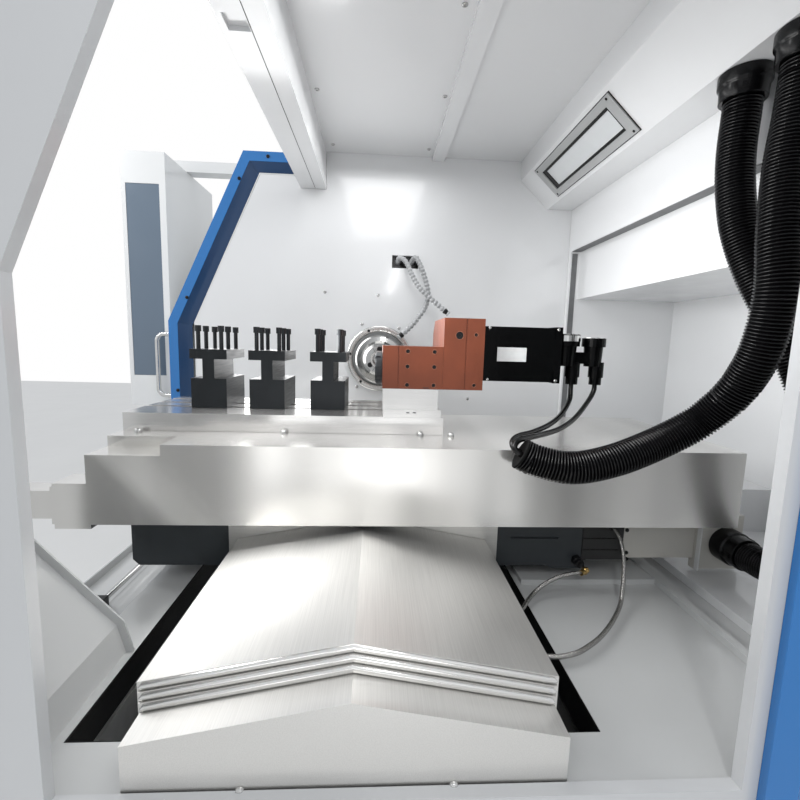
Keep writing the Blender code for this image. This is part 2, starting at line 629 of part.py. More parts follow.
def build_end_panel():
    """End panel with the service opening, and the blue pillar beside it."""
    low = BASE_TOP_Z + SEAT
    slope_in = SLOPE_TOP_Z
    outline = [(FRONT_Y, low), (FRONT_Y, SHOULDER_Z), (SHOULDER_TOP_Y, slope_in), (HEADER_Y, slope_in),
               (HEADER_Y, CEILING_Z + 0.017), (REAR_Y + 0.036, CEILING_Z + 0.017), (REAR_Y + 0.036, RECESS_TOP_Z + 0.0043),
               (RECESS_Y, RECESS_TOP_Z + 0.0043), (RECESS_Y, low)]
    panel = prism("right_end_panel", "X", outline, RIGHT_X - SHEET, RIGHT_X, WHITE)
    opening = [(OPENING_Y0, OPENING_Z0), (OPENING_Y0, SHOULDER_Z + 0.001), (OPENING_SLOPE_Y, OPENING_Z1),
               (OPENING_Y1, OPENING_Z1), (OPENING_Y1, OPENING_Z0)]
    flange = [(OPENING_Y0 - SHEET, OPENING_Z0 - 0.0015), (OPENING_Y0 - SHEET, SHOULDER_Z + 0.001),
              (OPENING_SLOPE_Y - SHEET, OPENING_Z1 + SHEET), (OPENING_Y1 + SHEET, OPENING_Z1 + SHEET),
              (OPENING_Y1 + SHEET, OPENING_Z0 - 0.0015)]
    weld(panel, prism("flange", "X", flange, RIGHT_X - 0.015, RIGHT_X - 0.001))
    carve(panel, prism("opening", "X", opening, RIGHT_X - 0.05, RIGHT_X + 0.05))
    x = RIGHT_X + SEAT
    y = OPENING_Y1 + 0.018
    depth = PILLAR_DEPTH
    pillar = [(x, y), (x + 0.6 * depth, y), (x + depth, y + 0.030), (x + 0.75 * depth, y + 0.036),
              (x + 0.75 * depth, y + 0.060), (x + 0.35 * depth, y + 0.085), (x, y + 0.085)]
    prism("end_trim", "Z", pillar, low, CEILING_Z + 0.017, BLUE)


def build_front_panels():
    """Fixed sheet panels of the enclosure's front: one by the end panel, one over the headstock."""
    low = BASE_TOP_Z + SEAT
    line = [(FRONT_Y, low), (FRONT_Y, SHOULDER_Z), (SHOULDER_TOP_Y, SLOPE_TOP_Z), (HEADER_Y - SEAT, SLOPE_TOP_Z)]
    fixed = folded_sheet("front_fixed_panel", "X", line, -SHEET, JAMB_X, RIGHT_X - SHEET - SEAT, WHITE)
    jamb_line = [(FRONT_Y, DECK_Z + 0.310), (FRONT_Y, SHOULDER_Z), (SHOULDER_TOP_Y, SLOPE_TOP_Z),
                 (HEADER_Y - SEAT, SLOPE_TOP_Z)]
    weld(fixed, folded_sheet("jamb", "X", jamb_line, -0.030, JAMB_X, JAMB_X + SHEET))
    cover = folded_sheet("headstock_cover", "X", line, -SHEET, LEFT_X, WALL_X - 0.0002, WHITE)
    end = [(FRONT_Y, low), (FRONT_Y, SHOULDER_Z), (SHOULDER_TOP_Y, SLOPE_TOP_Z), (HEADER_Y - SEAT, SLOPE_TOP_Z),
           (HEADER_Y - SEAT, CEILING_Z + 0.017), (REAR_Y - SEAT, CEILING_Z + 0.017), (REAR_Y - SEAT, low)]
    weld(cover, prism("end", "X", end, LEFT_X, LEFT_X + SHEET))


def build_cabinet():
    """Electrical cabinet behind the headstock."""
    low = (LEFT_X, REAR_Y + SEAT, BASE_TOP_Z + SEAT)
    high = (WALL_X - SEAT, RECESS_Y, CEILING_Z - SEAT)
    cabinet = box("electric_cabinet", low, high, WHITE)
    seams = []
    middle = (low[0] + high[0]) / 2
    for a, b in ((low[0] + 0.03, middle - 0.002), (middle + 0.002, high[0] - 0.03)):
        outer = box("leaf", (a, RECESS_Y - 0.004, low[2] + 0.04), (b, RECESS_Y + 0.01, high[2] - 0.04))
        inner = box("inner", (a + 0.004, RECESS_Y - 0.02, low[2] + 0.044),
                    (b - 0.004, RECESS_Y + 0.02, high[2] - 0.044))
        seams.append(carve(outer, inner))
    carve(cabinet, *seams)


def door_line(inset):
    """The door's outer line in Y and Z, from its foot over the shoulder to the top rail."""
    return [(DOOR_Y, DOOR_BOTTOM_Z + inset), (DOOR_Y, SHOULDER_Z + 0.003), (DOOR_SLOPE_Y, DOOR_TOP_Z),
            (HEADER_Y - 0.006, DOOR_TOP_Z)]


def build_door():
    """Sliding front door: pressed frame, window, blue leading edge, handle and the rail it hangs on."""
    x0 = DOOR_EDGE_X - DOOR_LENGTH
    x1 = DOOR_EDGE_X - SEAT
    door = folded_sheet("door_panel", "X", door_line(0.0), -SHEET, x0, x1, WHITE)
    frames = [folded_sheet("frame", "X", door_line(0.0), -DOOR_THICKNESS, x0, x0 + 0.035),
              folded_sheet("frame", "X", door_line(0.0), -DOOR_THICKNESS, x1 - 0.035, x1)]
    wx, wz = (x0 + 0.140, x1 - 0.120), (0.700, 1.090)
    frames.append(box("frame", (wx[0] - 0.03, DOOR_Y + 0.001, wz[0] - 0.03),
                      (wx[1] + 0.03, DOOR_Y + DOOR_THICKNESS, wz[1] + 0.03)))
    weld(door, *frames)
    window = box("window", (wx[0], DOOR_Y - 0.01, wz[0]), (wx[1], DOOR_Y + 0.05, wz[1]))
    rebate = box("rebate", (wx[0] - 0.012, DOOR_Y + 0.010, wz[0] - 0.012),
                 (wx[1] + 0.012, DOOR_Y + 0.05, wz[1] + 0.012))
    carve(door, window, rebate)
    pane_low = (wx[0] - 0.012 + SEAT, DOOR_Y + 0.010 + SEAT, wz[0] - 0.012 + SEAT)
    box("door_window", pane_low, (wx[1] + 0.012 - SEAT, DOOR_Y + 0.016, wz[1] + 0.012 - SEAT),
        dict(colour=(0.75, 0.82, 0.85), roughness=0.05, alpha=0.35))
    trim_line = door_line(0.0)[:3] + [(DOOR_SLOPE_Y + 0.150, DOOR_TOP_Z)]
    folded_sheet("door_trim", "X", trim_line, -DOOR_THICKNESS, DOOR_EDGE_X, DOOR_EDGE_X + DOOR_TRIM, BLUE)
    grip_x, reach = DOOR_EDGE_X - 0.035, 0.070
    z0, z1 = 0.880, 1.100
    route = [(grip_x, DOOR_Y - SEAT, z0), (grip_x, DOOR_Y - reach * 0.72, z0), (grip_x, DOOR_Y - reach, z0 + 0.022),
             (grip_x, DOOR_Y - reach, z0 + 0.08), (grip_x, DOOR_Y - reach, z1 - 0.08),
             (grip_x, DOOR_Y - reach, z1 - 0.022), (grip_x, DOOR_Y - reach * 0.72, z1), (grip_x, DOOR_Y - SEAT, z1)]
    hose("door_handle", route, 0.016, GROUND_STEEL)
    rail_top = DOOR_TOP_Z - DOOR_THICKNESS - SEAT
    rail = rectangle((HEADER_Y - 0.024, rail_top - 0.034), (HEADER_Y - SEAT, rail_top))
    prism("door_rail", "X", rail, LEFT_X, RIGHT_X - 0.010, GROUND_STEEL)


def build_saddle():
    """Saddle casting with its wings, guide blocks and the groove for the cross screw."""
    half = BED_HALF_WIDTH
    saddle = box("saddle", (SADDLE_X0, BED_Y - half, SADDLE_FOOT_Z), (SADDLE_X1, BED_Y + half, WING_Z + 0.001), CASTING)
    wing = [(SADDLE_Y0, WING_Z + 0.012), (SADDLE_Y0 + 0.012, WING_Z), (SADDLE_Y1 - 0.075, WING_Z),
            (SADDLE_Y1 - 0.060, WING_Z - 0.006), (SADDLE_Y1, WING_Z - 0.006), (SADDLE_Y1, SADDLE_TOP_Z),
            (SADDLE_Y0, SADDLE_TOP_Z)]
    parts = [prism("wings", "X", wing, SADDLE_X0, SADDLE_X1),
             box("pedestal", (SADDLE_X0 + 0.02, FRONT_BLOCK_Y - 0.047, SADDLE_TOP_Z - 0.001),
                 (SADDLE_X1 - 0.02, REAR_BLOCK_Y + 0.080, CROSS_RAIL_Z - 0.012))]
    for x in (SADDLE_X0 + 0.055, SADDLE_X1 - 0.055):
        for side in (-1, 1):
            y = BED_Y + side * RAIL_SPREAD
            parts.append(box("block", (x - 0.045, y - 0.030, BED_TOP_Z + 0.006),
                             (x + 0.045, y + 0.030, SADDLE_FOOT_Z + 0.001)))
    for y in (FRONT_BLOCK_Y, REAR_BLOCK_Y):
        for x in (X_SCREW_X - RAIL_PITCH / 2, X_SCREW_X + RAIL_PITCH / 2):
            parts.append(box("x_block", (x - 0.024, y - 0.045, CROSS_RAIL_Z - 0.013),
                             (x + 0.024, y + 0.045, CROSS_RAIL_Z + 0.010)))
    weld(saddle, *parts)
    carve(saddle, *saddle_cutters())


def saddle_cutters():
    cuts = []
    for side in (-1, 1):
        y = BED_Y + side * RAIL_SPREAD
        cuts.append(box("rail_groove", (SADDLE_X0 - 0.1, y - RAIL_WIDTH / 2 - SEAT, BED_TOP_Z - 0.01),
                        (SADDLE_X1 + 0.1, y + RAIL_WIDTH / 2 + SEAT, BED_TOP_Z + RAIL_HEIGHT + SEAT)))
        x = X_SCREW_X + side * RAIL_PITCH / 2
        cuts.append(box("cross_groove", (x - 0.0105, SADDLE_Y0 - 0.1, CROSS_RAIL_Z - 0.0005),
                        (x + 0.0105, SADDLE_Y1 + 0.1, SLIDE_TOP_Z)))
    cuts.append(box("screw_groove", (X_SCREW_X - 0.030, -0.250, X_SCREW_Z - 0.025), (X_SCREW_X + 0.030, 0.250, 0.80)))
    cuts.append(rod("z_bore", "X", (BED_Y, Z_SCREW_Z), SADDLE_X0 - 0.1, SADDLE_X1 + 0.1, SCREW_RADIUS + BORE_CLEARANCE))
    bore = X_SCREW_RADIUS - JOURNAL_STEP + SEAT
    cuts.append(rod("x_bore", "Y", (X_SCREW_X, X_SCREW_Z), -0.285, SADDLE_Y1 + 0.05, bore, None, 32))
    cuts.append(box("slit", (SADDLE_X1 - 0.004, SADDLE_Y1 - 0.150, 0.700), (SADDLE_X1 + 0.01, SADDLE_Y1 - 0.050, 0.704)))
    return cuts


def build_cross_drive():
    """Cross screw in the saddle, its servo motor, and the cable box behind it."""
    journal = X_SCREW_RADIUS - JOURNAL_STEP
    screw = turned("x_screw", "Y", (X_SCREW_X, X_SCREW_Z),
                   [(-0.280, journal), (-0.2497, journal), (-0.248, X_SCREW_RADIUS), (0.248, X_SCREW_RADIUS),
                    (0.2497, journal), (SADDLE_Y1 + 0.012, journal)], GROUND_STEEL, 32)
    set_origin(screw, (X_SCREW_X, 0.0, X_SCREW_Z))
    y = SADDLE_Y1 + SEAT
    motor = box("x_servo_motor", (X_SCREW_X - 0.030, y, 0.652), (SADDLE_X1 - 0.002, y + 0.012, 0.748), BLACK_PLASTIC)
    fins = []
    for i in range(6):
        a = y + 0.022 + i * 0.0115
        fins.append(box("fin", (X_SCREW_X - 0.027, a, 0.655), (SADDLE_X1 - 0.005, a + 0.006, 0.745)))
    core = box("core", (X_SCREW_X - 0.023, y + 0.010, 0.659), (SADDLE_X1 - 0.009, y + 0.092, 0.741))
    weld(motor, core, *fins)
    carve(motor, rod("pocket", "Y", (X_SCREW_X, X_SCREW_Z), y - 0.01, y + 0.020, X_SCREW_RADIUS + 0.003))
    tank = box("cable_box", (SADDLE_X1 - 0.170, y + 0.0925, 0.654), (SADDLE_X1 - 0.010, y + 0.250, 0.748),
               dict(colour=(0.80, 0.79, 0.74), roughness=0.4))
    plate = box("plate", (SADDLE_X1 - 0.020, y + 0.249, SILL_Z + 0.007), (SADDLE_X1 - 0.004, y + 0.349, SADDLE_TOP_Z))
    weld(tank, plate)
    turned("conduit_cuff_3", "X", (CUFF_3_Y, CUFF_3_Z),
           [(SADDLE_X1 - 0.004 + SEAT, CUFF / 2 - 0.003), (SADDLE_X1 + 0.030, CUFF / 2 - 0.003),
            (SADDLE_X1 + 0.032, CUFF / 2 - 0.006), (CUFF_3_X, CUFF / 2 - 0.006)], BLACK_PLASTIC)


def seat_area():
    """Where the slotted table is bolted down: (x0, x1, y0, y1)."""
    return TABLE_X0 + 0.032, TABLE_X1 - 0.037, TABLE_Y0 + 0.030, TABLE_Y1 - 0.030


def build_slide():
    """Cross slide casting with its rails and the screw's nut."""
    x0, x1, y0, y1 = seat_area()
    under = CROSS_RAIL_Z + 0.0225
    slide = box("slide_casting", (X_SCREW_X - 0.160, SLIDE_Y0 + 0.015, under),
                (X_SCREW_X + 0.105, SLIDE_Y1 - 0.015, SLIDE_TOP_Z - SHEET - SEAT), CASTING)
    parts = [box("seat", (x0, y0, SLIDE_TOP_Z - 0.010), (x1, y1, SLIDE_TOP_Z - SEAT)),
             box("nut", (X_SCREW_X - 0.022, -0.225, X_SCREW_Z - 0.018), (X_SCREW_X + 0.022, -0.165, under + 0.001))]
    for x in (X_SCREW_X - RAIL_PITCH / 2, X_SCREW_X + RAIL_PITCH / 2):
        parts.append(box("rail", (x - 0.010, SLIDE_Y0 + 0.024, CROSS_RAIL_Z), (x + 0.010, SLIDE_Y1 - 0.024, under + 0.001)))
    weld(slide, *parts)
    carve(slide, rod("nut_bore", "Y", (X_SCREW_X, X_SCREW_Z), -0.3, -0.1, X_SCREW_RADIUS + BORE_CLEARANCE))


def build_slide_cover():
    """Stainless box over the cross slide, notched at one corner, with the feed-through on its front."""
    seat_x0, seat_x1, seat_y0, seat_y1 = seat_area()
    cover = box("slide_cover", (SLIDE_X0, SLIDE_Y0, SLIDE_BOTTOM_Z), (SLIDE_X1, SLIDE_Y1, SLIDE_TOP_Z), STAINLESS)
    notch_x, notch_y, notch_z = SLIDE_X1 - 0.069, SLIDE_Y0 + 0.130, SLIDE_TOP_Z - 0.020
    foot, top = SLIDE_BOTTOM_Z - 0.01, SLIDE_TOP_Z - SHEET
    cuts = [box("notch", (notch_x, SLIDE_Y0 - 0.01, notch_z), (SLIDE_X1 + 0.01, notch_y, SLIDE_TOP_Z + 0.01)),
            box("inside", (SLIDE_X0 + SHEET, SLIDE_Y0 + SHEET, foot), (notch_x - SHEET, SLIDE_Y1 - SHEET, top)),
            box("inside_front", (notch_x - 0.01, SLIDE_Y0 + SHEET, foot),
                (SLIDE_X1 - SHEET, notch_y + 0.01, notch_z - SHEET)),
            box("inside_rear", (notch_x - 0.01, notch_y + SHEET, foot), (SLIDE_X1 - SHEET, SLIDE_Y1 - SHEET, top)),
            box("opening", (seat_x0 - SEAT, seat_y0 - SEAT, top - 0.01), (seat_x1 + SEAT, seat_y1 + SEAT, top + 0.01))]
    carve(cover, *cuts)
    x0, x1 = SADDLE_X1 + 0.003, SLIDE_X1 - 0.005
    collar = box("collar", (x0, SLIDE_Y0 - 0.062, 0.744), (x1, SLIDE_Y0 + 0.001, 0.828))
    lip = box("lip", (x0 + 0.004, SLIDE_Y0 - 0.069, 0.751), (x1 - 0.004, SLIDE_Y0 - 0.061, 0.821))
    tube = box("tube", (x0 + 0.007, SLIDE_Y0 - 0.143, 0.760), (x1 - 0.007, SLIDE_Y0 - 0.068, 0.812))
    weld(cover, collar, lip, tube)
    bore = box("tube_bore", (x0 + 0.012, SLIDE_Y0 - 0.139, 0.766), (x1 - 0.012, SLIDE_Y0 + 0.01, 0.806))
    carve(cover, bore)


def build_table():
    """Slotted table: its three T-slots run across the machine."""
    z0, z1 = SLIDE_TOP_Z + SEAT, TABLE_TOP_Z
    outline = [(TABLE_X0, z0), (TABLE_X1, z0), (TABLE_X1, z1)]
    for x in (0.460, 0.400, 0.340):
        mouth, head = SLOT_MOUTH / 2, SLOT_HEAD / 2
        outline += [(x + mouth, z1), (x + mouth, z1 - 0.013), (x + head, z1 - 0.013), (x + head, z1 - 0.024),
                    (x - head, z1 - 0.024), (x - head, z1 - 0.013), (x - mouth, z1 - 0.013), (x - mouth, z1)]
    outline.append((TABLE_X0, z1))
    prism("slot_table", "Y", outline, TABLE_Y0, TABLE_Y1, GROUND_STEEL)


def build_posts():
    """Gang tool posts: H-shaped steel blocks with a row of clamp screws on each side."""
    foot = TABLE_TOP_Z + SEAT
    for number, (y, x1) in enumerate(zip(POST_Y, POST_FRONT_X), start=1):
        x0 = x1 - POST_LENGTH
        edge = [(0.038, foot), (0.038, foot + 0.065), (0.0125, foot + 0.065), (0.0125, foot + 0.107),
                (0.0395, foot + 0.107), (0.0395, foot + 0.128)]
        outline = [(y + e, z) for e, z in edge] + [(y - e, z) for e, z in edge[::-1]]
        post = prism(f"tool_post_{number}", "X", outline, x0, x1, BLACK_OXIDE)
        screws = []
        for x in (x0 + 0.017, x0 + 0.072, x0 + 0.117):
            for side in (-1, 1):
                z = foot + 0.126
                profile = [(z, 0.0045), (z + 0.040, 0.0045), (z + 0.040, 0.0068), (z + 0.053, 0.0068)]
                screws.append(turned("screw", "Z", (x, y + side * 0.0245), profile, None, 12))
        weld(post, *screws)


def build_power_head():
    """Driven tool head: riser, two blocks, spindle nut and servo motor with its plugs."""
    x1 = TABLE_X1 - 0.002
    foot = TABLE_TOP_Z + SEAT
    riser = box("head_riser", (0.405, HEAD_Y0 + 0.003, foot), (x1 + 0.002, HEAD_Y0 + 0.123, foot + 0.016),
                dict(colour=(0.72, 0.73, 0.75), roughness=0.3, metallic=1.0))
    block = box("block", (0.425, HEAD_Y0 + 0.002, foot + 0.015), (x1, HEAD_Y0 + 0.116, HEAD_Z - SEAT))
    weld(riser, block)
    small = box("head_block_small", (0.425, HEAD_Y0, HEAD_Z), (x1, HEAD_Y0 + 0.124, HEAD_Z + 0.0875), COPPER_RED)
    groove = box("groove", (x1 - 0.0015, HEAD_Y0 + 0.031, HEAD_Z - 0.01), (x1 + 0.01, HEAD_Y0 + 0.033, HEAD_Z + 0.1))
    holes = [groove]
    for y in (HEAD_Y0 + 0.051, HEAD_Y0 + 0.106):
        for z in (HEAD_Z + 0.008, HEAD_Z + 0.046, HEAD_Z + 0.077):
            holes.append(rod("hole", "X", (y, z), x1 - 0.012, x1 + 0.01, 0.0042, None, 12))
    carve(small, *holes)
    live_x = 0.490
    big_y0 = HEAD_Y0 + 0.124 + SEAT
    big_y1 = big_y0 + 0.084
    big = box("head_block_big", (x1 - 0.182, big_y0, HEAD_Z), (x1, big_y1, HEAD_Z + 0.147), COPPER_RED)
    top = HEAD_Z + 0.147
    wedge = prism("wedge", "Y", [(x1 - 0.19, top - 0.035), (x1 - 0.19, top + 0.01), (x1 - 0.145, top + 0.01)],
                  big_y0 - 0.01, big_y1 + 0.01)
    cuts = [wedge, box("groove", (x1 - 0.0015, big_y0 + 0.045, HEAD_Z - 0.01), (x1 + 0.01, big_y0 + 0.047, top + 0.01)),
            rod("hole", "X", (big_y0 + 0.032, HEAD_Z + 0.112), x1 - 0.030, x1 + 0.01, 0.0078, None, 20),
            rod("hole", "X", (big_y0 + 0.066, HEAD_Z + 0.114), x1 - 0.012, x1 + 0.01, 0.0036, None, 12),
            rod("hole", "X", (big_y0 + 0.066, HEAD_Z + 0.010), x1 - 0.012, x1 + 0.01, 0.0036, None, 12)]
    carve(big, *cuts)
    nut = turned("live_nut", "Y", (live_x, SPINDLE_Z),
                 [(HEAD_Y0 - 0.0155, 0.012), (HEAD_Y0 - 0.0155, 0.031), (HEAD_Y0 - 0.0130, 0.0345),
                  (HEAD_Y0 - SEAT, 0.0345)], BLACK_OXIDE, 32)
    notches = []
    for i in range(4):
        angle = math.radians(45 + 90 * i)
        place = (live_x + 0.0345 * math.cos(angle), SPINDLE_Z + 0.0345 * math.sin(angle))
        notches.append(rod("notch", "Y", place, HEAD_Y0 - 0.02, HEAD_Y0 - 0.004, 0.004, None, 10))
    carve(nut, *notches)
    set_origin(nut, (live_x, HEAD_Y0, SPINDLE_Z))
    build_head_servo(big_y1 + SEAT)


def build_head_servo(y0):
    x0, x1 = 0.368, 0.498
    z0 = 1.0085
    z1 = z0 + 0.130
    servo = box("head_servo", (x0, y0, z0), (x1, y0 + 0.012, z1), BLACK_PLASTIC)
    body = box("body", (x0 + 0.005, y0 + 0.011, z0 + 0.005), (x1 - 0.005, y0 + 0.180, z1 - 0.005))
    ridge = box("ridge", (x0 + 0.002, y0 + 0.011, z0 + 0.030), (x1 - 0.002, y0 + 0.176, z1 - 0.030))
    rear = box("rear", (x0 + 0.003, y0 + 0.172, z0 + 0.003), (x1 - 0.003, y0 + 0.188, z1 - 0.003))
    arm = box("arm", (PLUG_X - 0.014, y0 + 0.185, 1.056), (PLUG_X + 0.014, y0 + 0.290, 1.082))
    parts = [body, ridge, rear, arm]
    foot = PLUG_FOOT_Z
    for y, cap_r, drop_y, cap_top in ((0.371, 0.031, PLUG_Y[0], 1.121), (0.437, 0.026, PLUG_Y[1], 1.114)):
        cap = [(1.050, cap_r * 0.72), (1.094, cap_r * 0.80), (1.095, cap_r), (cap_top, cap_r)]
        parts.append(turned("cap", "Z", (PLUG_X, y), cap, None, 24))
        drop = [(foot, 0.0135), (foot + 0.016, 0.0135), (foot + 0.017, 0.0165), (foot + 0.052, 0.0165)]
        parts.append(turned("drop", "Z", (PLUG_X, drop_y), drop, None, 20))
    weld(servo, *parts)
    smooth(servo)


def build_console():
    """Operator's console that hangs from an arm on the roof, with its stop button."""
    x0, x1 = -0.640, -0.195
    y0, y1 = CONSOLE_Y - 0.150, CONSOLE_Y
    z0, z1 = 0.840, 1.720
    console = box("console_housing", (x0, y0, z0), (x1, y1, z1), WHITE)
    arm_z = CEILING_Z + 0.017 + SEAT
    arm = box("arm", (-0.440, y1 - 0.090, arm_z), (-0.380, -0.200, arm_z + 0.040))
    post = box("post", (-0.440, y1 - 0.090, z1 - 0.002), (-0.380, y1 - 0.030, arm_z + 0.001))
    weld(console, arm, post)
    screen = box("screen", (x0 + 0.050, y0 - 0.01, z1 - 0.360), (x1 - 0.050, y0 + 0.006, z1 - 0.070))
    keys = box("keys", (x0 + 0.050, y0 - 0.01, z0 + 0.240), (x1 - 0.050, y0 + 0.004, z0 + 0.440))
    side = box("side", (x1 - 0.004, y0 + 0.014, z0 + 0.110), (x1 + 0.01, y1 - 0.022, z1 - 0.105))
    button = (x1 - 0.110, z0 + 0.100)
    hole = rod("hole", "Y", button, y0 - 0.01, y0 + 0.020, 0.0115, None, 24)
    carve(console, screen, keys, side, hole)
    stop = turned("stop_button", "Y", button,
                  [(y0 - 0.025, 0.012), (y0 - 0.021, 0.020), (y0 - 0.010, 0.020), (y0 - 0.008, 0.0108),
                   (y0 + 0.012, 0.0108)], dict(colour=(0.65, 0.02, 0.02), roughness=0.4), 24)
    set_origin(stop, (button[0], y0, button[1]))


def shifted(point, direction, distance):
    return tuple(Vector(point) + Vector(direction).normalized() * distance)


def build_conduits():
    """Corrugated conduits from the lamp duct to the cross slide and to the saddle, with their cuffs."""
    top = LAMP_SLOPE[1][1] - SEAT
    for name, place in (("conduit_cuff_1", CUFF_1), ("conduit_cuff_2", CUFF_2)):
        turned(name, "Z", place, [(CUFF_Z, CUFF / 2 - 0.004), (CUFF_Z + 0.022, CUFF / 2 - 0.003),
                                  (CUFF_Z + 0.025, CUFF / 2), (top, CUFF / 2)], BLACK_PLASTIC)
    start = CUFF_Z - SEAT
    upper = [(*CUFF_1, start), (*CUFF_1, start - 0.020), (0.7960, 0.544, 1.435), (0.7985, 0.537, 1.368),
             (0.8110, 0.529, 1.273), (0.8200, 0.529, 1.182), (0.8045, 0.530, 1.096),
             shifted(CONDUIT_JOIN, JOIN_DIRECTION, -0.015), CONDUIT_JOIN]
    hose("conduit_1_upper", upper, CONDUIT, BLACK_PLASTIC)
    lower = [shifted(CONDUIT_JOIN, JOIN_DIRECTION, SEAT), shifted(CONDUIT_JOIN, JOIN_DIRECTION, 0.015),
             (0.7400, 0.491, 0.970), (0.7270, 0.433, 0.930), (0.7300, 0.352, 0.898), (0.7270, 0.278, 0.884),
             shifted(MOUTH, MOUTH_FACES, -0.015), MOUTH]
    hose("conduit_1_lower", lower, CONDUIT, BLACK_PLASTIC)
    low = [(*CUFF_2, start), (*CUFF_2, start - 0.020), (0.6860, 0.546, 1.430), (0.6920, 0.548, 1.365),
           (0.7040, 0.556, 1.295), (0.7250, 0.575, 1.220), (0.7560, 0.604, 1.135), (0.7880, 0.630, 1.040),
           (0.8130, 0.652, 0.945), (0.8230, 0.671, 0.860), (0.8130, 0.681, 0.785), (0.7820, CUFF_3_Y, 0.728),
           (0.7380, CUFF_3_Y, 0.697), (CUFF_3_X + 0.030, CUFF_3_Y, CUFF_3_Z), (CUFF_3_X + SEAT, CUFF_3_Y, CUFF_3_Z)]
    hose("conduit_2", low, CONDUIT, BLACK_PLASTIC)


def build_motor_cables():
    """Two cables from the driven head's plugs into the mouth of the conduit."""
    across = Vector((-MOUTH_FACES[1], MOUTH_FACES[0], 0.0)).normalized()
    middle = [[(0.475, 0.383, 0.971), (0.530, 0.342, 0.946), (0.580, 0.297, 0.933), (0.630, 0.246, 0.927),
               (0.668, 0.205, 0.9265), (0.688, 0.188, 0.920)],
              [(0.470, 0.431, 0.972), (0.525, 0.377, 0.940), (0.580, 0.322, 0.926), (0.625, 0.272, 0.923),
               (0.665, 0.232, 0.925), (0.700, 0.196, 0.926), (0.713, 0.184, 0.918)]]
    for number, (y, bends, side) in enumerate(zip(PLUG_Y, middle, (-0.0085, 0.0085)), start=1):
        end = Vector(shifted(MOUTH, MOUTH_FACES, 2 * SEAT)) + across * side
        start = (PLUG_X, y, PLUG_FOOT_Z - SEAT)
        route = [start, (PLUG_X, y, PLUG_FOOT_Z - 0.012), *bends, shifted(end, MOUTH_FACES, 0.012), tuple(end)]
        hose(f"motor_cable_{number}", route, 0.011, BLACK_PLASTIC)


def build_coolant_hoses():
    """Two segmented coolant hoses that leave the port in the headstock wall."""
    grey = dict(colour=(0.75, 0.77, 0.78), roughness=0.4)
    x, z = WALL_X - 0.040 + SEAT, PORT_Z
    hose("coolant_hose_a", [(x, 0.004, z), (x + 0.015, 0.004, z), (x + 0.028, 0.005, z + 0.002), (-0.072, 0.010, 1.376),
                            (-0.040, 0.030, 1.356), (-0.010, 0.049, 1.310), (0.012, 0.071, 1.270),
                            (0.026, 0.095, 1.246), (0.036, 0.116, 1.226), (0.044, 0.139, 1.206),
                            (0.050, 0.163, 1.186)], 0.014, grey)
    hose("coolant_hose_b", [(x, 0.048, z), (x + 0.015, 0.048, z), (x + 0.028, 0.052, z + 0.004), (-0.070, 0.062, 1.377),
                            (-0.046, 0.077, 1.350), (-0.030, 0.089, 1.315), (-0.018, 0.099, 1.280),
                            (-0.010, 0.103, 1.254), (0.000, 0.099, 1.227), (0.014, 0.088, 1.201),
                            (0.026, 0.068, 1.172), (0.034, 0.048, 1.147), (0.040, 0.027, 1.126),
                            (0.044, 0.006, 1.108)], 0.014, grey)


def build_braided_hoses():
    """Two steel-braided lubricant hoses looped over the deck behind the way cover."""
    steel = dict(colour=(0.45, 0.45, 0.44), roughness=0.35, metallic=1.0)
    face = SADDLE_X1 + SEAT
    y = SADDLE_Y1
    hose("braided_hose_1", [(face, y - 0.010, 0.655), (0.630, y - 0.010, 0.655), (0.658, y - 0.014, 0.655),
                            (0.665, y - 0.040, 0.654), (0.669, y - 0.070, 0.649), (0.674, y - 0.100, 0.636),
                            (0.684, y - 0.122, 0.6255), (0.705, y - 0.142, 0.622), (0.728, y - 0.162, 0.619),
                            (0.735, y - 0.190, 0.617), (0.715, y - 0.225, 0.616), (0.670, y - 0.240, 0.616),
                            (0.630, y - 0.242, 0.616), (face, y - 0.242, 0.616)], 0.008, steel)
    hose("braided_hose_2", [(SADDLE_X1 - 0.002 + SEAT, y + 0.058, 0.730), (0.622, y + 0.058, 0.730),
                            (0.645, y + 0.062, 0.710), (0.675, y + 0.055, 0.675), (0.708, y + 0.036, 0.640),
                            (0.732, y + 0.019, 0.627), (0.770, y - 0.015, 0.6228), (0.804, y - 0.050, 0.6228),
                            (0.827, y - 0.080, 0.6228), (0.848, y - 0.118, 0.6225), (0.850, y - 0.160, 0.620),
                            (0.820, y - 0.196, 0.617), (0.760, y - 0.222, 0.616), (0.700, y - 0.258, 0.616),
                            (0.630, y - 0.262, 0.616), (face, y - 0.262, 0.616)], 0.008, steel)


build_base()
build_bed()
build_z_drive()
build_way_covers()
build_deck()
build_headstock()
build_spindle()
build_headstock_wall()
build_rear_wall()
build_roof()
build_lamp()
build_end_panel()
build_front_panels()
build_cabinet()
build_door()
build_saddle()
build_cross_drive()
build_slide()
build_slide_cover()
build_table()
build_posts()
build_power_head()
build_console()
build_conduits()
build_motor_cables()
build_coolant_hoses()
build_braided_hoses()
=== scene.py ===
"""Flat-bed turning lathe with gang tooling, seen through the open end of its enclosure."""
import math
import bmesh
import bpy
from mathutils import Matrix, Vector


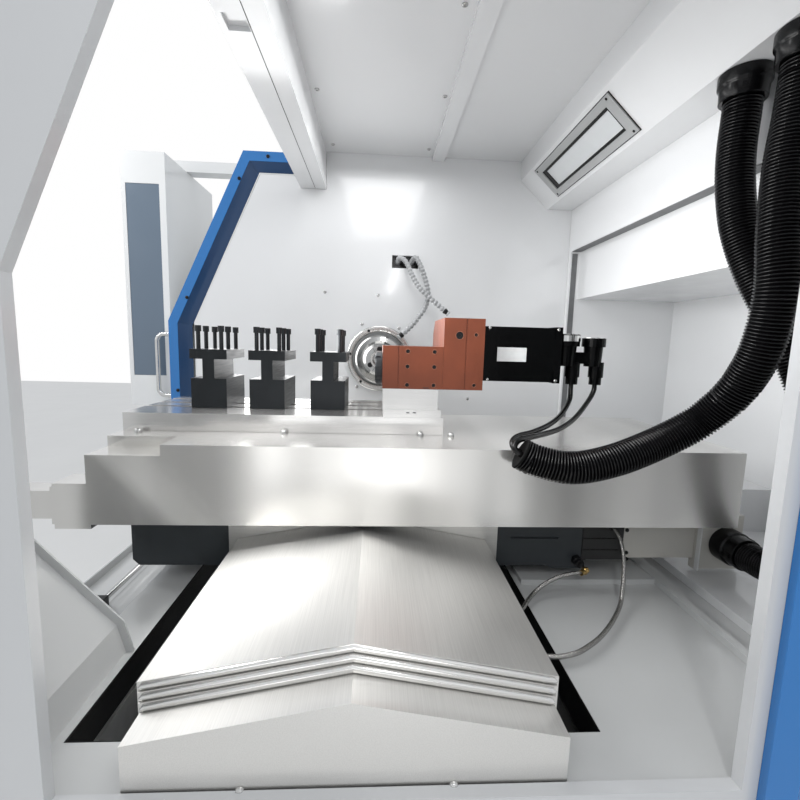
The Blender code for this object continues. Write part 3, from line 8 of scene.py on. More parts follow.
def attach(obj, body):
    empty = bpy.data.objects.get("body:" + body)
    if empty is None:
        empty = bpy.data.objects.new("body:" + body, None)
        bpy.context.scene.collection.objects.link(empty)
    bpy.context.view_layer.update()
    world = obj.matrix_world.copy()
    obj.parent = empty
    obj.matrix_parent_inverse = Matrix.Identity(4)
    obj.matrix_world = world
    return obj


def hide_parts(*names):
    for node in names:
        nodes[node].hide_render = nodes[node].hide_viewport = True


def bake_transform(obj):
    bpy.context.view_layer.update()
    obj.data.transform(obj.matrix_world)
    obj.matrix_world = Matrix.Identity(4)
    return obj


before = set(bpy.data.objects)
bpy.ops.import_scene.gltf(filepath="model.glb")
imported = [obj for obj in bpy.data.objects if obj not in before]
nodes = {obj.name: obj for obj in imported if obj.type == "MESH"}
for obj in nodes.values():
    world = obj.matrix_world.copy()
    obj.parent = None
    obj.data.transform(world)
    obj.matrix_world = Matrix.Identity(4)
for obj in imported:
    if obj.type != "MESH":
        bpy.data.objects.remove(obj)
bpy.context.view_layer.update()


# Where the picture is taken: a wide lens stands 0.4 m outside the service opening in the end
# panel, a little above the tools, looks along the spindle axis and leans down by 7 degrees.
def place_camera():
    eye = (1.46, -0.06, 1.092)
    yaw, pitch, roll = math.radians(3.125), math.radians(7.37), math.radians(1.591)
    ahead = Vector((-math.cos(yaw) * math.cos(pitch), math.sin(yaw) * math.cos(pitch), -math.sin(pitch)))
    right = ahead.cross(Vector((0, 0, 1))).normalized()
    up = right.cross(ahead)
    cos_roll, sin_roll = math.cos(roll), math.sin(roll)
    across, upward = cos_roll * right + sin_roll * up, -sin_roll * right + cos_roll * up
    focal_pixels, picture_pixels, sensor_width = 441.7, 800, 36.0
    data = bpy.data.cameras.new("camera")
    data.sensor_width = sensor_width
    data.lens = focal_pixels / picture_pixels * sensor_width
    data.clip_start = 0.05
    camera = bpy.data.objects.new("camera", data)
    turn = Matrix((across, upward, -ahead)).transposed().to_4x4()
    camera.matrix_world = Matrix.Translation(eye) @ turn
    bpy.context.collection.objects.link(camera)
    bpy.context.scene.camera = camera


place_camera()


# Corrugated conduits: black polyamide hose with a rib every 5.4 mm. They hang from the lamp duct
# in clip-on cuffs, and the saddle and the cross slide draw their lower ends along.
def add(tree, kind, **values):
    made = tree.nodes.new(kind)
    for key, value in values.items():
        setattr(made, key, value)
    return made


def start_material(name, colour, roughness, metallic=0.0, **sockets):
    made = bpy.data.materials.new(name)
    made.use_nodes = True
    made.diffuse_color = (*colour, 1.0)
    shader = made.node_tree.nodes["Principled BSDF"]
    shader.inputs["Base Color"].default_value = (*colour, 1.0)
    shader.inputs["Roughness"].default_value = roughness
    shader.inputs["Metallic"].default_value = metallic
    for key, value in sockets.items():
        shader.inputs[key.replace("_", " ").title().replace("Ior", "IOR")].default_value = value
    return made, made.node_tree, shader


def noise(tree, scale, detail=3.0, stretch=(1, 1, 1)):
    place = add(tree, "ShaderNodeTexCoord")
    mapping = add(tree, "ShaderNodeMapping")
    mapping.inputs["Scale"].default_value = stretch
    texture = add(tree, "ShaderNodeTexNoise")
    texture.inputs["Scale"].default_value = scale
    texture.inputs["Detail"].default_value = detail
    tree.links.new(place.outputs["Object"], mapping.inputs["Vector"])
    tree.links.new(mapping.outputs["Vector"], texture.inputs["Vector"])
    return texture.outputs["Fac"]


def spread(tree, fac, low, high):
    step = add(tree, "ShaderNodeMapRange", interpolation_type="SMOOTHSTEP")
    step.inputs["From Min"].default_value = 0.2
    step.inputs["From Max"].default_value = 0.8
    step.inputs["To Min"].default_value = low
    step.inputs["To Max"].default_value = high
    tree.links.new(fac, step.inputs["Value"])
    return step.outputs["Result"]


def tint(tree, shader, fac, first, second):
    ramp = add(tree, "ShaderNodeValToRGB")
    ramp.color_ramp.interpolation = "EASE"
    ramp.color_ramp.elements[0].position = 0.25
    ramp.color_ramp.elements[0].color = (*first, 1.0)
    ramp.color_ramp.elements[1].position = 0.75
    ramp.color_ramp.elements[1].color = (*second, 1.0)
    tree.links.new(fac, ramp.inputs["Fac"])
    tree.links.new(ramp.outputs["Color"], shader.inputs["Base Color"])


def bump(tree, shader, fac, strength, distance):
    step = add(tree, "ShaderNodeBump")
    step.inputs["Strength"].default_value = strength
    step.inputs["Distance"].default_value = distance
    tree.links.new(fac, step.inputs["Height"])
    tree.links.new(step.outputs["Normal"], shader.inputs["Normal"])


def dim(colour, share):
    return tuple(c * share for c in colour)


def moulded(name, colour, roughness, grain=0.12, coat=0.0, shine=0.5):
    """Moulded plastic or rubber: even colour, fine mould texture, faint handling marks."""
    made, tree, shader = start_material(name, colour, roughness, coat_weight=coat, coat_roughness=0.08,
                                        specular_ior_level=shine)
    tint(tree, shader, noise(tree, 30.0), dim(colour, 0.8), colour)
    tree.links.new(spread(tree, noise(tree, 60.0), roughness - 0.06, roughness + 0.08), shader.inputs["Roughness"])
    bump(tree, shader, noise(tree, 900.0, 2.0), grain, 0.0002)
    return made


def piece(name, shell, finish, body, smooth=None):
    bmesh.ops.recalc_face_normals(shell, faces=shell.faces)
    mesh = bpy.data.meshes.new(name)
    shell.to_mesh(mesh)
    shell.free()
    made = bpy.data.objects.new(name, mesh)
    bpy.context.collection.objects.link(made)
    mesh.materials.append(finish)
    if smooth:
        mesh.shade_smooth()
        mesh.set_sharp_from_angle(angle=math.radians(smooth))
    if body:
        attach(made, body)
    return made


def smooth_route(route, spacing):
    """Even points along a smooth curve, with the first and the last piece of the route kept straight."""
    knots = [Vector(p) for p in route]
    fine = [knots[0]]
    for a, b, c, d in zip(knots, knots[1:], knots[2:], knots[3:]):
        for step in range(40):
            t = step / 40
            point = 0.5 * (2 * b + (c - a) * t + (2 * a - 5 * b + 4 * c - d) * t * t
                           + (3 * b - a - 3 * c + d) * t ** 3)
            fine.append(point)
    fine += [knots[-2], knots[-1]]
    lengths = [0.0]
    for a, b in zip(fine, fine[1:]):
        lengths.append(lengths[-1] + (b - a).length)
    count = max(6, round(lengths[-1] / spacing))
    even, at = [], 0
    for k in range(count + 1):
        goal = lengths[-1] * k / count
        while at < len(fine) - 2 and lengths[at + 1] < goal:
            at += 1
        share = (goal - lengths[at]) / max(lengths[at + 1] - lengths[at], 1e-9)
        even.append(fine[at].lerp(fine[at + 1], min(max(share, 0.0), 1.0)))
    return even, lengths[-1]


def tube(name, route, spacing, radius_at, finish, body, sides=20):
    """A tube along a route whose radius follows the distance along it."""
    points, length = smooth_route(route, spacing)
    shell = bmesh.new()
    layer = shell.loops.layers.uv.new("along")
    rings, places = [], []
    travelled = 0.0
    for i, point in enumerate(points):
        ahead = (points[min(i + 1, len(points) - 1)] - points[max(i - 1, 0)]).normalized()
        if i == 0:
            side = ahead.orthogonal().normalized()
        else:
            side = (side - ahead * side.dot(ahead)).normalized()
            travelled += (point - points[i - 1]).length
        other = ahead.cross(side)
        radius = radius_at(travelled, length)
        ring = []
        for k in range(sides):
            angle = 2 * math.pi * k / sides
            ring.append(shell.verts.new(point + radius * (side * math.cos(angle) + other * math.sin(angle))))
        rings.append(ring)
        places.append(travelled)
    for i, (near, far) in enumerate(zip(rings, rings[1:])):
        for k in range(sides):
            j = (k + 1) % sides
            face = shell.faces.new((near[k], near[j], far[j], far[k]))
            around = [(k / sides, places[i]), ((k + 1) / sides, places[i]),
                      ((k + 1) / sides, places[i + 1]), (k / sides, places[i + 1])]
            for loop, uv in zip(face.loops, around):
                loop[layer].uv = uv
    shell.faces.new(rings[0][::-1])
    shell.faces.new(rings[-1])
    made = piece(name, shell, finish, body, smooth=55)
    return made, [tuple(p) for p in points], length


def shifted(point, direction, distance):
    return tuple(Vector(point) + Vector(direction).normalized() * distance)


rib_pitch, rib_root, rib_height = 0.0054, 0.0252, 0.0038
gap = 0.0003            # air between two pieces that rest on each other
black_gloss = moulded("black_gloss", (0.004, 0.004, 0.0045), 0.185, 0.04, shine=0.24)


def ribbed(travelled, length):
    wave = 0.5 - 0.5 * math.cos(2 * math.pi * travelled / rib_pitch)
    return rib_root + rib_height * wave ** 0.6


def conduit(name, route):
    made, path, length = tube(name + "_ribs", route, rib_pitch / 8, ribbed, black_gloss, None, 32)
    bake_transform(made)
    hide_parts(name)


first_cuff, second_cuff, cuff_z = (0.795, 0.548), (0.685, 0.548), 1.5117
join, join_way = (0.7725, 0.5224, 1.0265), (-0.462, -0.253, -0.850)
mouth, mouth_faces = (0.710, 0.199, 0.903), (-0.138, -0.874, 0.466)
conduit("conduit_1_upper",
        [(*first_cuff, cuff_z), (*first_cuff, cuff_z - 0.020), (0.7960, 0.544, 1.435), (0.7985, 0.537, 1.368),
         (0.8110, 0.529, 1.273), (0.8200, 0.529, 1.182), (0.8045, 0.530, 1.096),
         shifted(join, join_way, -0.015), join])
conduit("conduit_1_lower",
        [shifted(join, join_way, gap), shifted(join, join_way, 0.015),
         (0.7400, 0.491, 0.970), (0.7270, 0.433, 0.930), (0.7300, 0.352, 0.898), (0.7270, 0.278, 0.884),
         shifted(mouth, mouth_faces, -0.015), mouth])
conduit("conduit_2",
        [(*second_cuff, cuff_z), (*second_cuff, cuff_z - 0.020), (0.6860, 0.546, 1.430), (0.6920, 0.548, 1.365),
         (0.7040, 0.556, 1.295), (0.7250, 0.575, 1.220), (0.7560, 0.604, 1.135), (0.7880, 0.630, 1.040),
         (0.8130, 0.652, 0.945), (0.8230, 0.671, 0.860), (0.8130, 0.681, 0.785), (0.7820, 0.684, 0.728),
         (0.7380, 0.684, 0.697), (0.695, 0.684, 0.690), (0.6653, 0.684, 0.690)])


# Conduit cuffs and mouth: moulded black sleeves with a wide collar and rounded edges. Three spring
# tabs on each sleeve hold the hose's first ribs, and a matt liner fills the mouth on the slide.
def revolve(shell, origin, axis, profile, sides=48, closed=True, hexed=()):
    """Rings of a turned form. Its profile gives distance along the axis and radius; hexed rings have six flats."""
    axis = Vector(axis).normalized()
    side = axis.orthogonal().normalized()
    other = axis.cross(side)
    rings = []
    for i, (along, radius) in enumerate(profile):
        centre = Vector(origin) + axis * along
        if radius < 1e-7:
            rings.append([shell.verts.new(centre)])
            continue
        ring = []
        for k in range(sides):
            angle = 2 * math.pi * k / sides
            reach = radius
            if i in hexed:
                turn = (angle + math.pi / 6) % (math.pi / 3) - math.pi / 6
                reach = radius * math.cos(math.pi / 6) / math.cos(turn)
            ring.append(shell.verts.new(centre + reach * (side * math.cos(angle) + other * math.sin(angle))))
        rings.append(ring)
    pairs = list(zip(rings, rings[1:])) + ([(rings[-1], rings[0])] if closed else [])
    for near, far in pairs:
        for k in range(sides):
            j = (k + 1) % sides
            if len(near) == 1 and len(far) > 1:
                shell.faces.new((near[0], far[j], far[k]))
            elif len(far) == 1 and len(near) > 1:
                shell.faces.new((near[k], near[j], far[0]))
            elif len(near) > 1:
                shell.faces.new((near[k], near[j], far[j], far[k]))


def slab(shell, low, high, edge=0.0, turn=None, at=None):
    """A plate between two corners with rounded edges, turned and moved when a matrix is given."""
    low, high = Vector(low), Vector(high)
    made = bmesh.ops.create_cube(shell, size=1.0)["verts"]
    centre, size = (low + high) / 2, high - low
    for vert in made:
        vert.co = Vector((vert.co.x * size.x, vert.co.y * size.y, vert.co.z * size.z)) + centre
    if edge:
        edges = list({e for v in made for e in v.link_edges})
        result = bmesh.ops.bevel(shell, geom=edges, offset=edge, segments=2, profile=0.6, affect="EDGES")
        made = list({v for f in result["faces"] for v in f.verts} | {v for v in made if v.is_valid})
    if turn is not None:
        for vert in made:
            vert.co = Vector(at) + turn @ vert.co


def turned(name, origin, axis, profile, sides, finish, body, smooth=35, **form):
    shell = bmesh.new()
    revolve(shell, origin, axis, profile, sides, **form)
    piece(name, shell, finish, body, smooth)


def cuff(name, origin, axis, profile, body):
    shell = bmesh.new()
    revolve(shell, origin, axis, profile)
    axis = Vector(axis)
    side = axis.orthogonal().normalized()
    sleeve_radius = profile[2][1]
    for k in range(3):
        out = Matrix.Rotation(math.radians(40 + 120 * k), 3, axis) @ side
        rows = Matrix((axis.cross(out), axis, out)).transposed()
        slab(shell, (-0.005, 0.006, 0.0), (0.005, 0.018, 0.0022), 0.0006, rows,
             Vector(origin) + out * (sleeve_radius - 0.0012))
    made = piece(name + "_sleeve", shell, black_gloss, body, smooth=35)
    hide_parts(name)


drop = [(0.0000, 0.0292), (0.0000, 0.0340), (0.0010, 0.0350), (0.0205, 0.0358), (0.0228, 0.0372), (0.0245, 0.0387),
        (0.0260, 0.0390), (0.0425, 0.0390), (0.0436, 0.0382), (0.0436, 0.0292)]
cuff("conduit_cuff_1", (*first_cuff, cuff_z + gap), (0, 0, 1), drop, "enclosure")
cuff("conduit_cuff_2", (*second_cuff, cuff_z + gap), (0, 0, 1), drop, "enclosure")
cuff("conduit_cuff_3", (0.6650, 0.684, 0.690), (-1, 0, 0),
     [(0.0000, 0.0292), (0.0000, 0.0318), (0.0010, 0.0328), (0.0245, 0.0330), (0.0262, 0.0345), (0.0275, 0.0358),
      (0.0290, 0.0360), (0.0570, 0.0360), (0.0584, 0.0350), (0.0584, 0.0292)], "z_carriage")
turned("conduit_mouth", mouth, mouth_faces,
       [(0.0002, 0.0), (0.0002, 0.0262), (0.0002, 0.0286), (0.0024, 0.0284), (0.0030, 0.0268),
        (0.0016, 0.0248), (0.0004, 0.0)],
       40, moulded("black_matt", (0.003, 0.003, 0.003), 0.8, shine=0.15), "x_slide", closed=False)


# Motor cables: smooth black jackets that leave the driven head's plugs and lie on the slide
# cover in one loose bend until they enter the conduit's mouth.
def plain(radius):
    return lambda travelled, length: radius


black_rubber = moulded("black_rubber", (0.005, 0.005, 0.005), 0.19, shine=0.26)
plug_x, plug_top = 0.460, 1.0077


def cable(number, plug_y, bends, side):
    across = Vector((-mouth_faces[1], mouth_faces[0], 0.0)).normalized()
    end = Vector(shifted(mouth, mouth_faces, 0.0006)) + across * side
    route = [(plug_x, plug_y, plug_top), (plug_x, plug_y, 0.996), *bends,
             shifted(end, mouth_faces, 0.012), tuple(end)]
    name = f"motor_cable_{number}"
    made, path, length = tube(name + "_jacket", route, 0.005, plain(0.0055), black_rubber, "x_slide", 18)
    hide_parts(name)


cable(1, 0.391, [(0.475, 0.383, 0.971), (0.530, 0.342, 0.946), (0.580, 0.297, 0.933), (0.630, 0.246, 0.927),
                 (0.668, 0.205, 0.9265), (0.688, 0.188, 0.920)], -0.0085)
cable(2, 0.447, [(0.470, 0.431, 0.972), (0.525, 0.377, 0.940), (0.580, 0.322, 0.926), (0.625, 0.272, 0.923),
                 (0.665, 0.232, 0.925), (0.700, 0.196, 0.926), (0.713, 0.184, 0.918)], 0.0085)


# Coolant hoses: pale plastic ball segments that snap into each other and end in a black nozzle.
# They leave a black port in the headstock wall and stay where they are bent.
segment, ball_share = 0.0135, 0.78
neck_radius, ball_height = 0.0050, 0.0036


def beads(travelled, length):
    share = (travelled / segment) % 1.0
    if share >= ball_share:
        return neck_radius
    return neck_radius + ball_height * math.sin(math.pi * share / ball_share) ** 0.6


hose_grey = moulded("hose_grey", (0.44, 0.45, 0.46), 0.35)
black_plastic = moulded("black_plastic", (0.006, 0.006, 0.007), 0.35, shine=0.32)


def coolant(name, route):
    made, path, length = tube(name + "_segments", route, segment / 9, beads, hose_grey, "enclosure", 16)
    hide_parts(name)
    tip, before = Vector(path[-1]), Vector(path[-6])
    turned(name + "_nozzle", tip, before - tip,
           [(0.0002, 0.0028), (0.0002, 0.0048), (0.013, 0.0088), (0.017, 0.0090), (0.018, 0.0086), (0.018, 0.0084)],
           20, black_plastic, "enclosure")


coolant("coolant_hose_a",
        [(-0.1297, 0.004, 1.3655), (-0.1147, 0.004, 1.3655), (-0.1017, 0.005, 1.3675), (-0.072, 0.010, 1.376),
         (-0.040, 0.030, 1.356), (-0.010, 0.049, 1.310), (0.012, 0.071, 1.270), (0.026, 0.095, 1.246),
         (0.036, 0.116, 1.226), (0.044, 0.139, 1.206), (0.050, 0.163, 1.186)])
coolant("coolant_hose_b",
        [(-0.1297, 0.048, 1.3655), (-0.1147, 0.048, 1.3655), (-0.1017, 0.052, 1.3695), (-0.070, 0.062, 1.377),
         (-0.046, 0.077, 1.350), (-0.030, 0.089, 1.315), (-0.018, 0.099, 1.280), (-0.010, 0.103, 1.254),
         (0.000, 0.099, 1.227), (0.014, 0.088, 1.201), (0.026, 0.068, 1.172), (0.034, 0.048, 1.147),
         (0.040, 0.027, 1.126), (0.044, 0.006, 1.108)])


# A black plate deep in the port, holed for the two hoses: it is the port's black fitting and also paints the shade
# inside the port.
def port_dark_fill():
    port_x, hole_radius, corners = -0.1080, 0.0098, 24
    loops = [[(-0.0152, 1.3448), (0.0742, 1.3448), (0.0742, 1.3862), (-0.0152, 1.3862)]]
    angles = [2 * math.pi * k / corners for k in range(corners)]
    for y, z in ((0.005, 1.3670), (0.052, 1.3690)):
        loops.append([(y + hole_radius * math.cos(a), z + hole_radius * math.sin(a)) for a in angles])
    shell = bmesh.new()
    edges = []
    for loop in loops:
        verts = [shell.verts.new((port_x, y, z)) for y, z in loop]
        edges += [shell.edges.new((a, b)) for a, b in zip(verts, verts[1:] + verts[:1])]
    bmesh.ops.triangle_fill(shell, use_beauty=True, edges=edges)
    made = piece("port_dark_fill", shell, black_rubber, "enclosure")
    step = made.modifiers.new("gauge", "SOLIDIFY")
    step.thickness = 0.003
    step.offset = 0.0


port_dark_fill()


# Lubricant hoses: steel braid over rubber, looped over the deck from the saddle, with a crimped
# brass ferrule and a black union where the first one starts.
def braid_material():
    made, tree, shader = start_material("steel_braid", (0.34, 0.33, 0.32), 0.22, metallic=1.0)
    place = add(tree, "ShaderNodeTexCoord")
    relief = []
    for lean in (1, -1):
        mapping = add(tree, "ShaderNodeMapping")
        mapping.inputs["Scale"].default_value = (12.0, 620.0 * lean, 1.0)
        wave = add(tree, "ShaderNodeTexWave", bands_direction="DIAGONAL")
        wave.inputs["Scale"].default_value = 0.5
        tree.links.new(place.outputs["UV"], mapping.inputs["Vector"])
        tree.links.new(mapping.outputs["Vector"], wave.inputs["Vector"])
        relief.append(wave.outputs["Fac"])
    both = add(tree, "ShaderNodeMath", operation="MAXIMUM")
    tree.links.new(relief[0], both.inputs[0])
    tree.links.new(relief[1], both.inputs[1])
    tint(tree, shader, both.outputs["Value"], (0.07, 0.07, 0.068), (0.52, 0.51, 0.49))
    bump(tree, shader, both.outputs["Value"], 0.6, 0.0005)
    return made


braid = braid_material()


def braided(name, route):
    made, path, length = tube(name + "_braid", route, 0.004, plain(0.004), braid, "z_carriage", 16)
    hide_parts(name)
    return path


first_hose = braided("braided_hose_1",
                     [(0.6103, 0.362, 0.655), (0.630, 0.362, 0.655), (0.658, 0.358, 0.655), (0.665, 0.332, 0.654),
                      (0.669, 0.302, 0.649), (0.674, 0.272, 0.636), (0.684, 0.250, 0.6255), (0.705, 0.230, 0.622),
                      (0.728, 0.210, 0.619), (0.735, 0.182, 0.617), (0.715, 0.147, 0.616), (0.670, 0.132, 0.616),
                      (0.630, 0.130, 0.616), (0.6103, 0.130, 0.616)])
braided("braided_hose_2",
        [(0.6083, 0.430, 0.730), (0.622, 0.430, 0.730), (0.645, 0.434, 0.710), (0.675, 0.427, 0.675),
         (0.708, 0.408, 0.640), (0.732, 0.391, 0.627), (0.770, 0.357, 0.6228), (0.804, 0.322, 0.6228),
         (0.827, 0.292, 0.6228), (0.848, 0.254, 0.6225), (0.850, 0.212, 0.620), (0.820, 0.176, 0.617),
         (0.760, 0.150, 0.616), (0.700, 0.114, 0.616), (0.630, 0.110, 0.616), (0.6103, 0.110, 0.616)])


def milled(name, colour, roughness, metallic, grain):
    """Machined metal: tool marks across one axis and a clouded surface."""
    made, tree, shader = start_material(name, colour, roughness, metallic=metallic)
    stretch = tuple(0.03 if axis == grain else 1.0 for axis in "XYZ")
    marks = noise(tree, 500.0, 2.0, stretch)
    tint(tree, shader, noise(tree, 22.0, 5.0), dim(colour, 0.82), colour)
    tree.links.new(spread(tree, marks, roughness - 0.06, roughness + 0.08), shader.inputs["Roughness"])
    bump(tree, shader, marks, 0.15, 0.0002)
    return made


def hose_fittings():
    shell = bmesh.new()
    revolve(shell, (0.6108, 0.362, 0.655), (1, 0, 0),
            [(0.0, 0.0044), (0.0, 0.0110), (0.012, 0.0110), (0.013, 0.0090), (0.021, 0.0085), (0.022, 0.0044)],
            24, hexed=(1, 2))
    revolve(shell, (0.6088, 0.430, 0.730), (1, 0, 0),
            [(0.0, 0.0044), (0.0, 0.0100), (0.008, 0.0100), (0.009, 0.0075), (0.014, 0.0070), (0.014, 0.0044)],
            24, hexed=(1, 2))
    piece("hose_unions", shell, black_plastic, "z_carriage", smooth=30)
    crimp = Vector((0.661, 0.356, 0.655))
    at = min(range(len(first_hose)), key=lambda i: (Vector(first_hose[i]) - crimp).length)
    start, way = Vector(first_hose[at]), Vector(first_hose[at + 2]) - Vector(first_hose[at - 2])
    turned("brass_ferrule", start, way,
           [(-0.010, 0.0044), (-0.010, 0.0072), (-0.001, 0.0072), (0.0, 0.0056), (0.010, 0.0052), (0.010, 0.0044)],
           24, milled("brass", (0.62, 0.42, 0.15), 0.19, 0.9, "X"), "z_carriage", smooth=30, hexed=(1, 2))


hose_fittings()


# Base, bed and headstock: a welded steel base on levelling feet, and two iron castings bolted to
# it. All three wear thick grey machine paint.
def cast(name, colour, roughness, relief=0.5):
    """Painted casting: thick paint over a grainy surface."""
    made, tree, shader = start_material(name, colour, roughness)
    tint(tree, shader, noise(tree, 14.0, 5.0), dim(colour, 0.78), colour)
    tree.links.new(spread(tree, noise(tree, 35.0), roughness - 0.08, roughness + 0.1), shader.inputs["Roughness"])
    bump(tree, shader, noise(tree, 260.0, 4.0), relief, 0.0006)
    return made


def dress(finish, names, edge=0.0, segments=2):
    for name in names:
        solid = nodes[name]
        solid.data.materials.clear()
        solid.data.materials.append(finish)
        if edge:
            step = solid.modifiers.new("edges", "BEVEL")
            step.width = edge
            step.segments = segments
            step.limit_method = "ANGLE"
            step.angle_limit = math.radians(35)


dress(cast("grey_paint", (0.20, 0.205, 0.205), 0.5), ["base", "bed", "headstock"])


# Enclosure: folded steel sheet, enamelled in gloss white and screwed together from separate
# panels. The pan and the end panel get darker copies of the white, which paint the shade on them,
# and the pillar at the open end is blue.
def enamel(name, colour, roughness=0.22, peel=0.04, coat=0.35):
    """Sprayed gloss paint with a slight orange peel."""
    made, tree, shader = start_material(name, colour, roughness, coat_weight=coat, coat_roughness=0.10)
    tint(tree, shader, noise(tree, 2.2, 4.0), dim(colour, 0.975), colour)
    tree.links.new(spread(tree, noise(tree, 9.0), roughness - 0.04, roughness + 0.05), shader.inputs["Roughness"])
    bump(tree, shader, noise(tree, 420.0, 2.0), peel, 0.0004)
    return made


white = enamel("white_enamel", (0.78, 0.79, 0.79))
white_inside = enamel("white_enamel_inside", (0.80, 0.81, 0.82), roughness=0.20, coat=0.6)
blue = enamel("blue_enamel", (0.018, 0.170, 0.48), roughness=0.22)
dress(white_inside, ["headstock_wall", "rear_wall", "roof_panel", "lamp_beam"], 0.0010, 1)
# The pan's white is a darker copy of the white enamel, which paints the shade on the deck.
dress(enamel("white_enamel_pan_painted_shade", (0.54, 0.55, 0.55), roughness=0.22, coat=0.5), ["pan_deck"], 0.0010, 1)
dress(white, ["front_fixed_panel", "headstock_cover", "electric_cabinet"], 0.0010, 1)
# The end panel's white is a darker copy of the white enamel, which paints the shade on it.
dress(enamel("white_enamel_end_painted_shade", (0.57, 0.58, 0.59)), ["right_end_panel"], 0.0010, 1)
dress(blue, ["end_trim"], 0.0015)
wall_x, ceiling_z = -0.0900, 1.7050
zinc = milled("zinc", (0.62, 0.62, 0.61), 0.19, 0.85, "Z")
screw_black = milled("screw_black", (0.015, 0.015, 0.016), 0.34, 0.5, "Z")
# Near-black material for strips and plates that paint the shade in seams, slits and slots.
painted_gap_shade = moulded("painted_gap_shade", (0.012, 0.012, 0.013), 0.6)


def screws(name, places, axis, radius, height, finish, body):
    """Dome-head screws with a hexagon socket, their heads standing on the surface."""
    socket = radius * 0.42
    shell = bmesh.new()
    for place in places:
        revolve(shell, place, axis,
                [(gap, 0.0), (gap, radius), (height * 0.45, radius), (height * 0.8, radius * 0.86),
                 (height, radius * 0.62), (height, socket), (height * 0.45, socket), (height * 0.45, 0.0)],
                24, closed=False, hexed=(5, 6))
    piece(name, shell, finish, body, smooth=40)


def strips(name, places, finish, body, edge=0.0):
    """Plates between pairs of corners, all in one piece."""
    shell = bmesh.new()
    for low, high in places:
        slab(shell, low, high, edge)
    piece(name, shell, finish, body)


screws("wall_screws", [(wall_x, y, z) for y, z in ((-0.1139, 1.1529), (0.0142, 1.1430), (-0.1289, 0.9351),
                                                    (0.2654, 0.9009), (-0.2413, 1.2566), (-0.0609, 1.2525))],
       (1, 0, 0), 0.0052, 0.0032, zinc, "enclosure")
screws("ceiling_screws", [(x, y, ceiling_z) for x, y in ((0.5789, 0.0862), (0.2774, 0.0958), (0.2753, -0.2208),
                                                      (-0.0281, 0.0913), (-0.0278, -0.2117), (0.5760, -0.2120),
                                                      (0.9300, 0.0862), (0.9300, -0.2120))],
       (0, 0, -1), 0.0060, 0.0034, zinc, "enclosure")
# Grey strips along the window's top and side edges, darker than the wall beside them.
window_strip_grey = moulded("window_strip_grey", (0.17, 0.175, 0.18), 0.5)
strips("window_edge_strips", [((-0.0640, 0.5966, 1.4152), (1.0180, 0.6246, 1.4168)),
                       ((-0.0698, 0.6000, 0.7600), (-0.0684, 0.6180, 1.4100))], window_strip_grey, "enclosure")
strips("slot_wipers", [((-0.0800, 0.2330, 0.5600), (0.9695, 0.2348, 0.6066)),
                       ((-0.0800, -0.4248, 0.5600), (0.9695, -0.4230, 0.6066)),
                       ((0.9680, -0.4225, 0.5600), (0.9698, 0.2325, 0.6066))], black_rubber, "enclosure")
# A dark grey strip paints the shade in the groove along the deck.
strips("deck_groove", [((-0.0500, 0.5440, 0.6073), (1.0200, 0.5560, 0.6079))],
       moulded("groove_painted_shade", (0.050, 0.051, 0.050), 0.5), "enclosure")
# A near-black strip paints the shade in the seam under the header beam.
strips("header_seam_shade", [((-0.0800, -0.2746, 1.5884), (1.0280, -0.2734, 1.5889))], painted_gap_shade, "enclosure")
strips("silver_rod_bracket", [((0.6000, -0.6110, 0.5470), (0.6280, -0.5890, 0.5730))],
       black_plastic, "enclosure", 0.002)
turned("silver_rod", (-0.0800, -0.600, 0.562), (1, 0, 0),
       [(0.0, 0.0), (0.0, 0.0060), (0.679, 0.0060), (0.679, 0.0)],
       24, milled("rod_steel", (0.60, 0.60, 0.59), 0.19, 0.9, "X"), "enclosure", smooth=40, closed=False)


# Lamp: a sheet frame with rounded edges on the roof's slope, a black gasket and a frosted pane.
# A thin black line round the frame paints the shadow in the gap under its edge.
def glow(name, colour, strength):
    made, tree, shader = start_material(name, colour, 0.4)
    tint(tree, shader, noise(tree, 40.0), dim(colour, 0.97), colour)
    shader.inputs["Emission Color"].default_value = (*colour, 1.0)
    shader.inputs["Emission Strength"].default_value = strength
    return made


lamp_grey = enamel("lamp_grey", (0.40, 0.41, 0.41), roughness=0.32)
dress(lamp_grey, ["lamp_frame"], 0.0012)
dress(glow("frosted_glass", (0.60, 0.62, 0.63), 0.12), ["lamp_glass"])


def on_slope(x, share, proud):
    """A place on the lamp's slope: along the roof, share of the slope, height towards the room."""
    top, foot = Vector((0.412, 1.644)), Vector((0.509, 1.556))
    way = foot - top
    out = Vector((way.y, -way.x)).normalized()
    at = top + way * share + out * proud
    return (x, at.x, at.y)


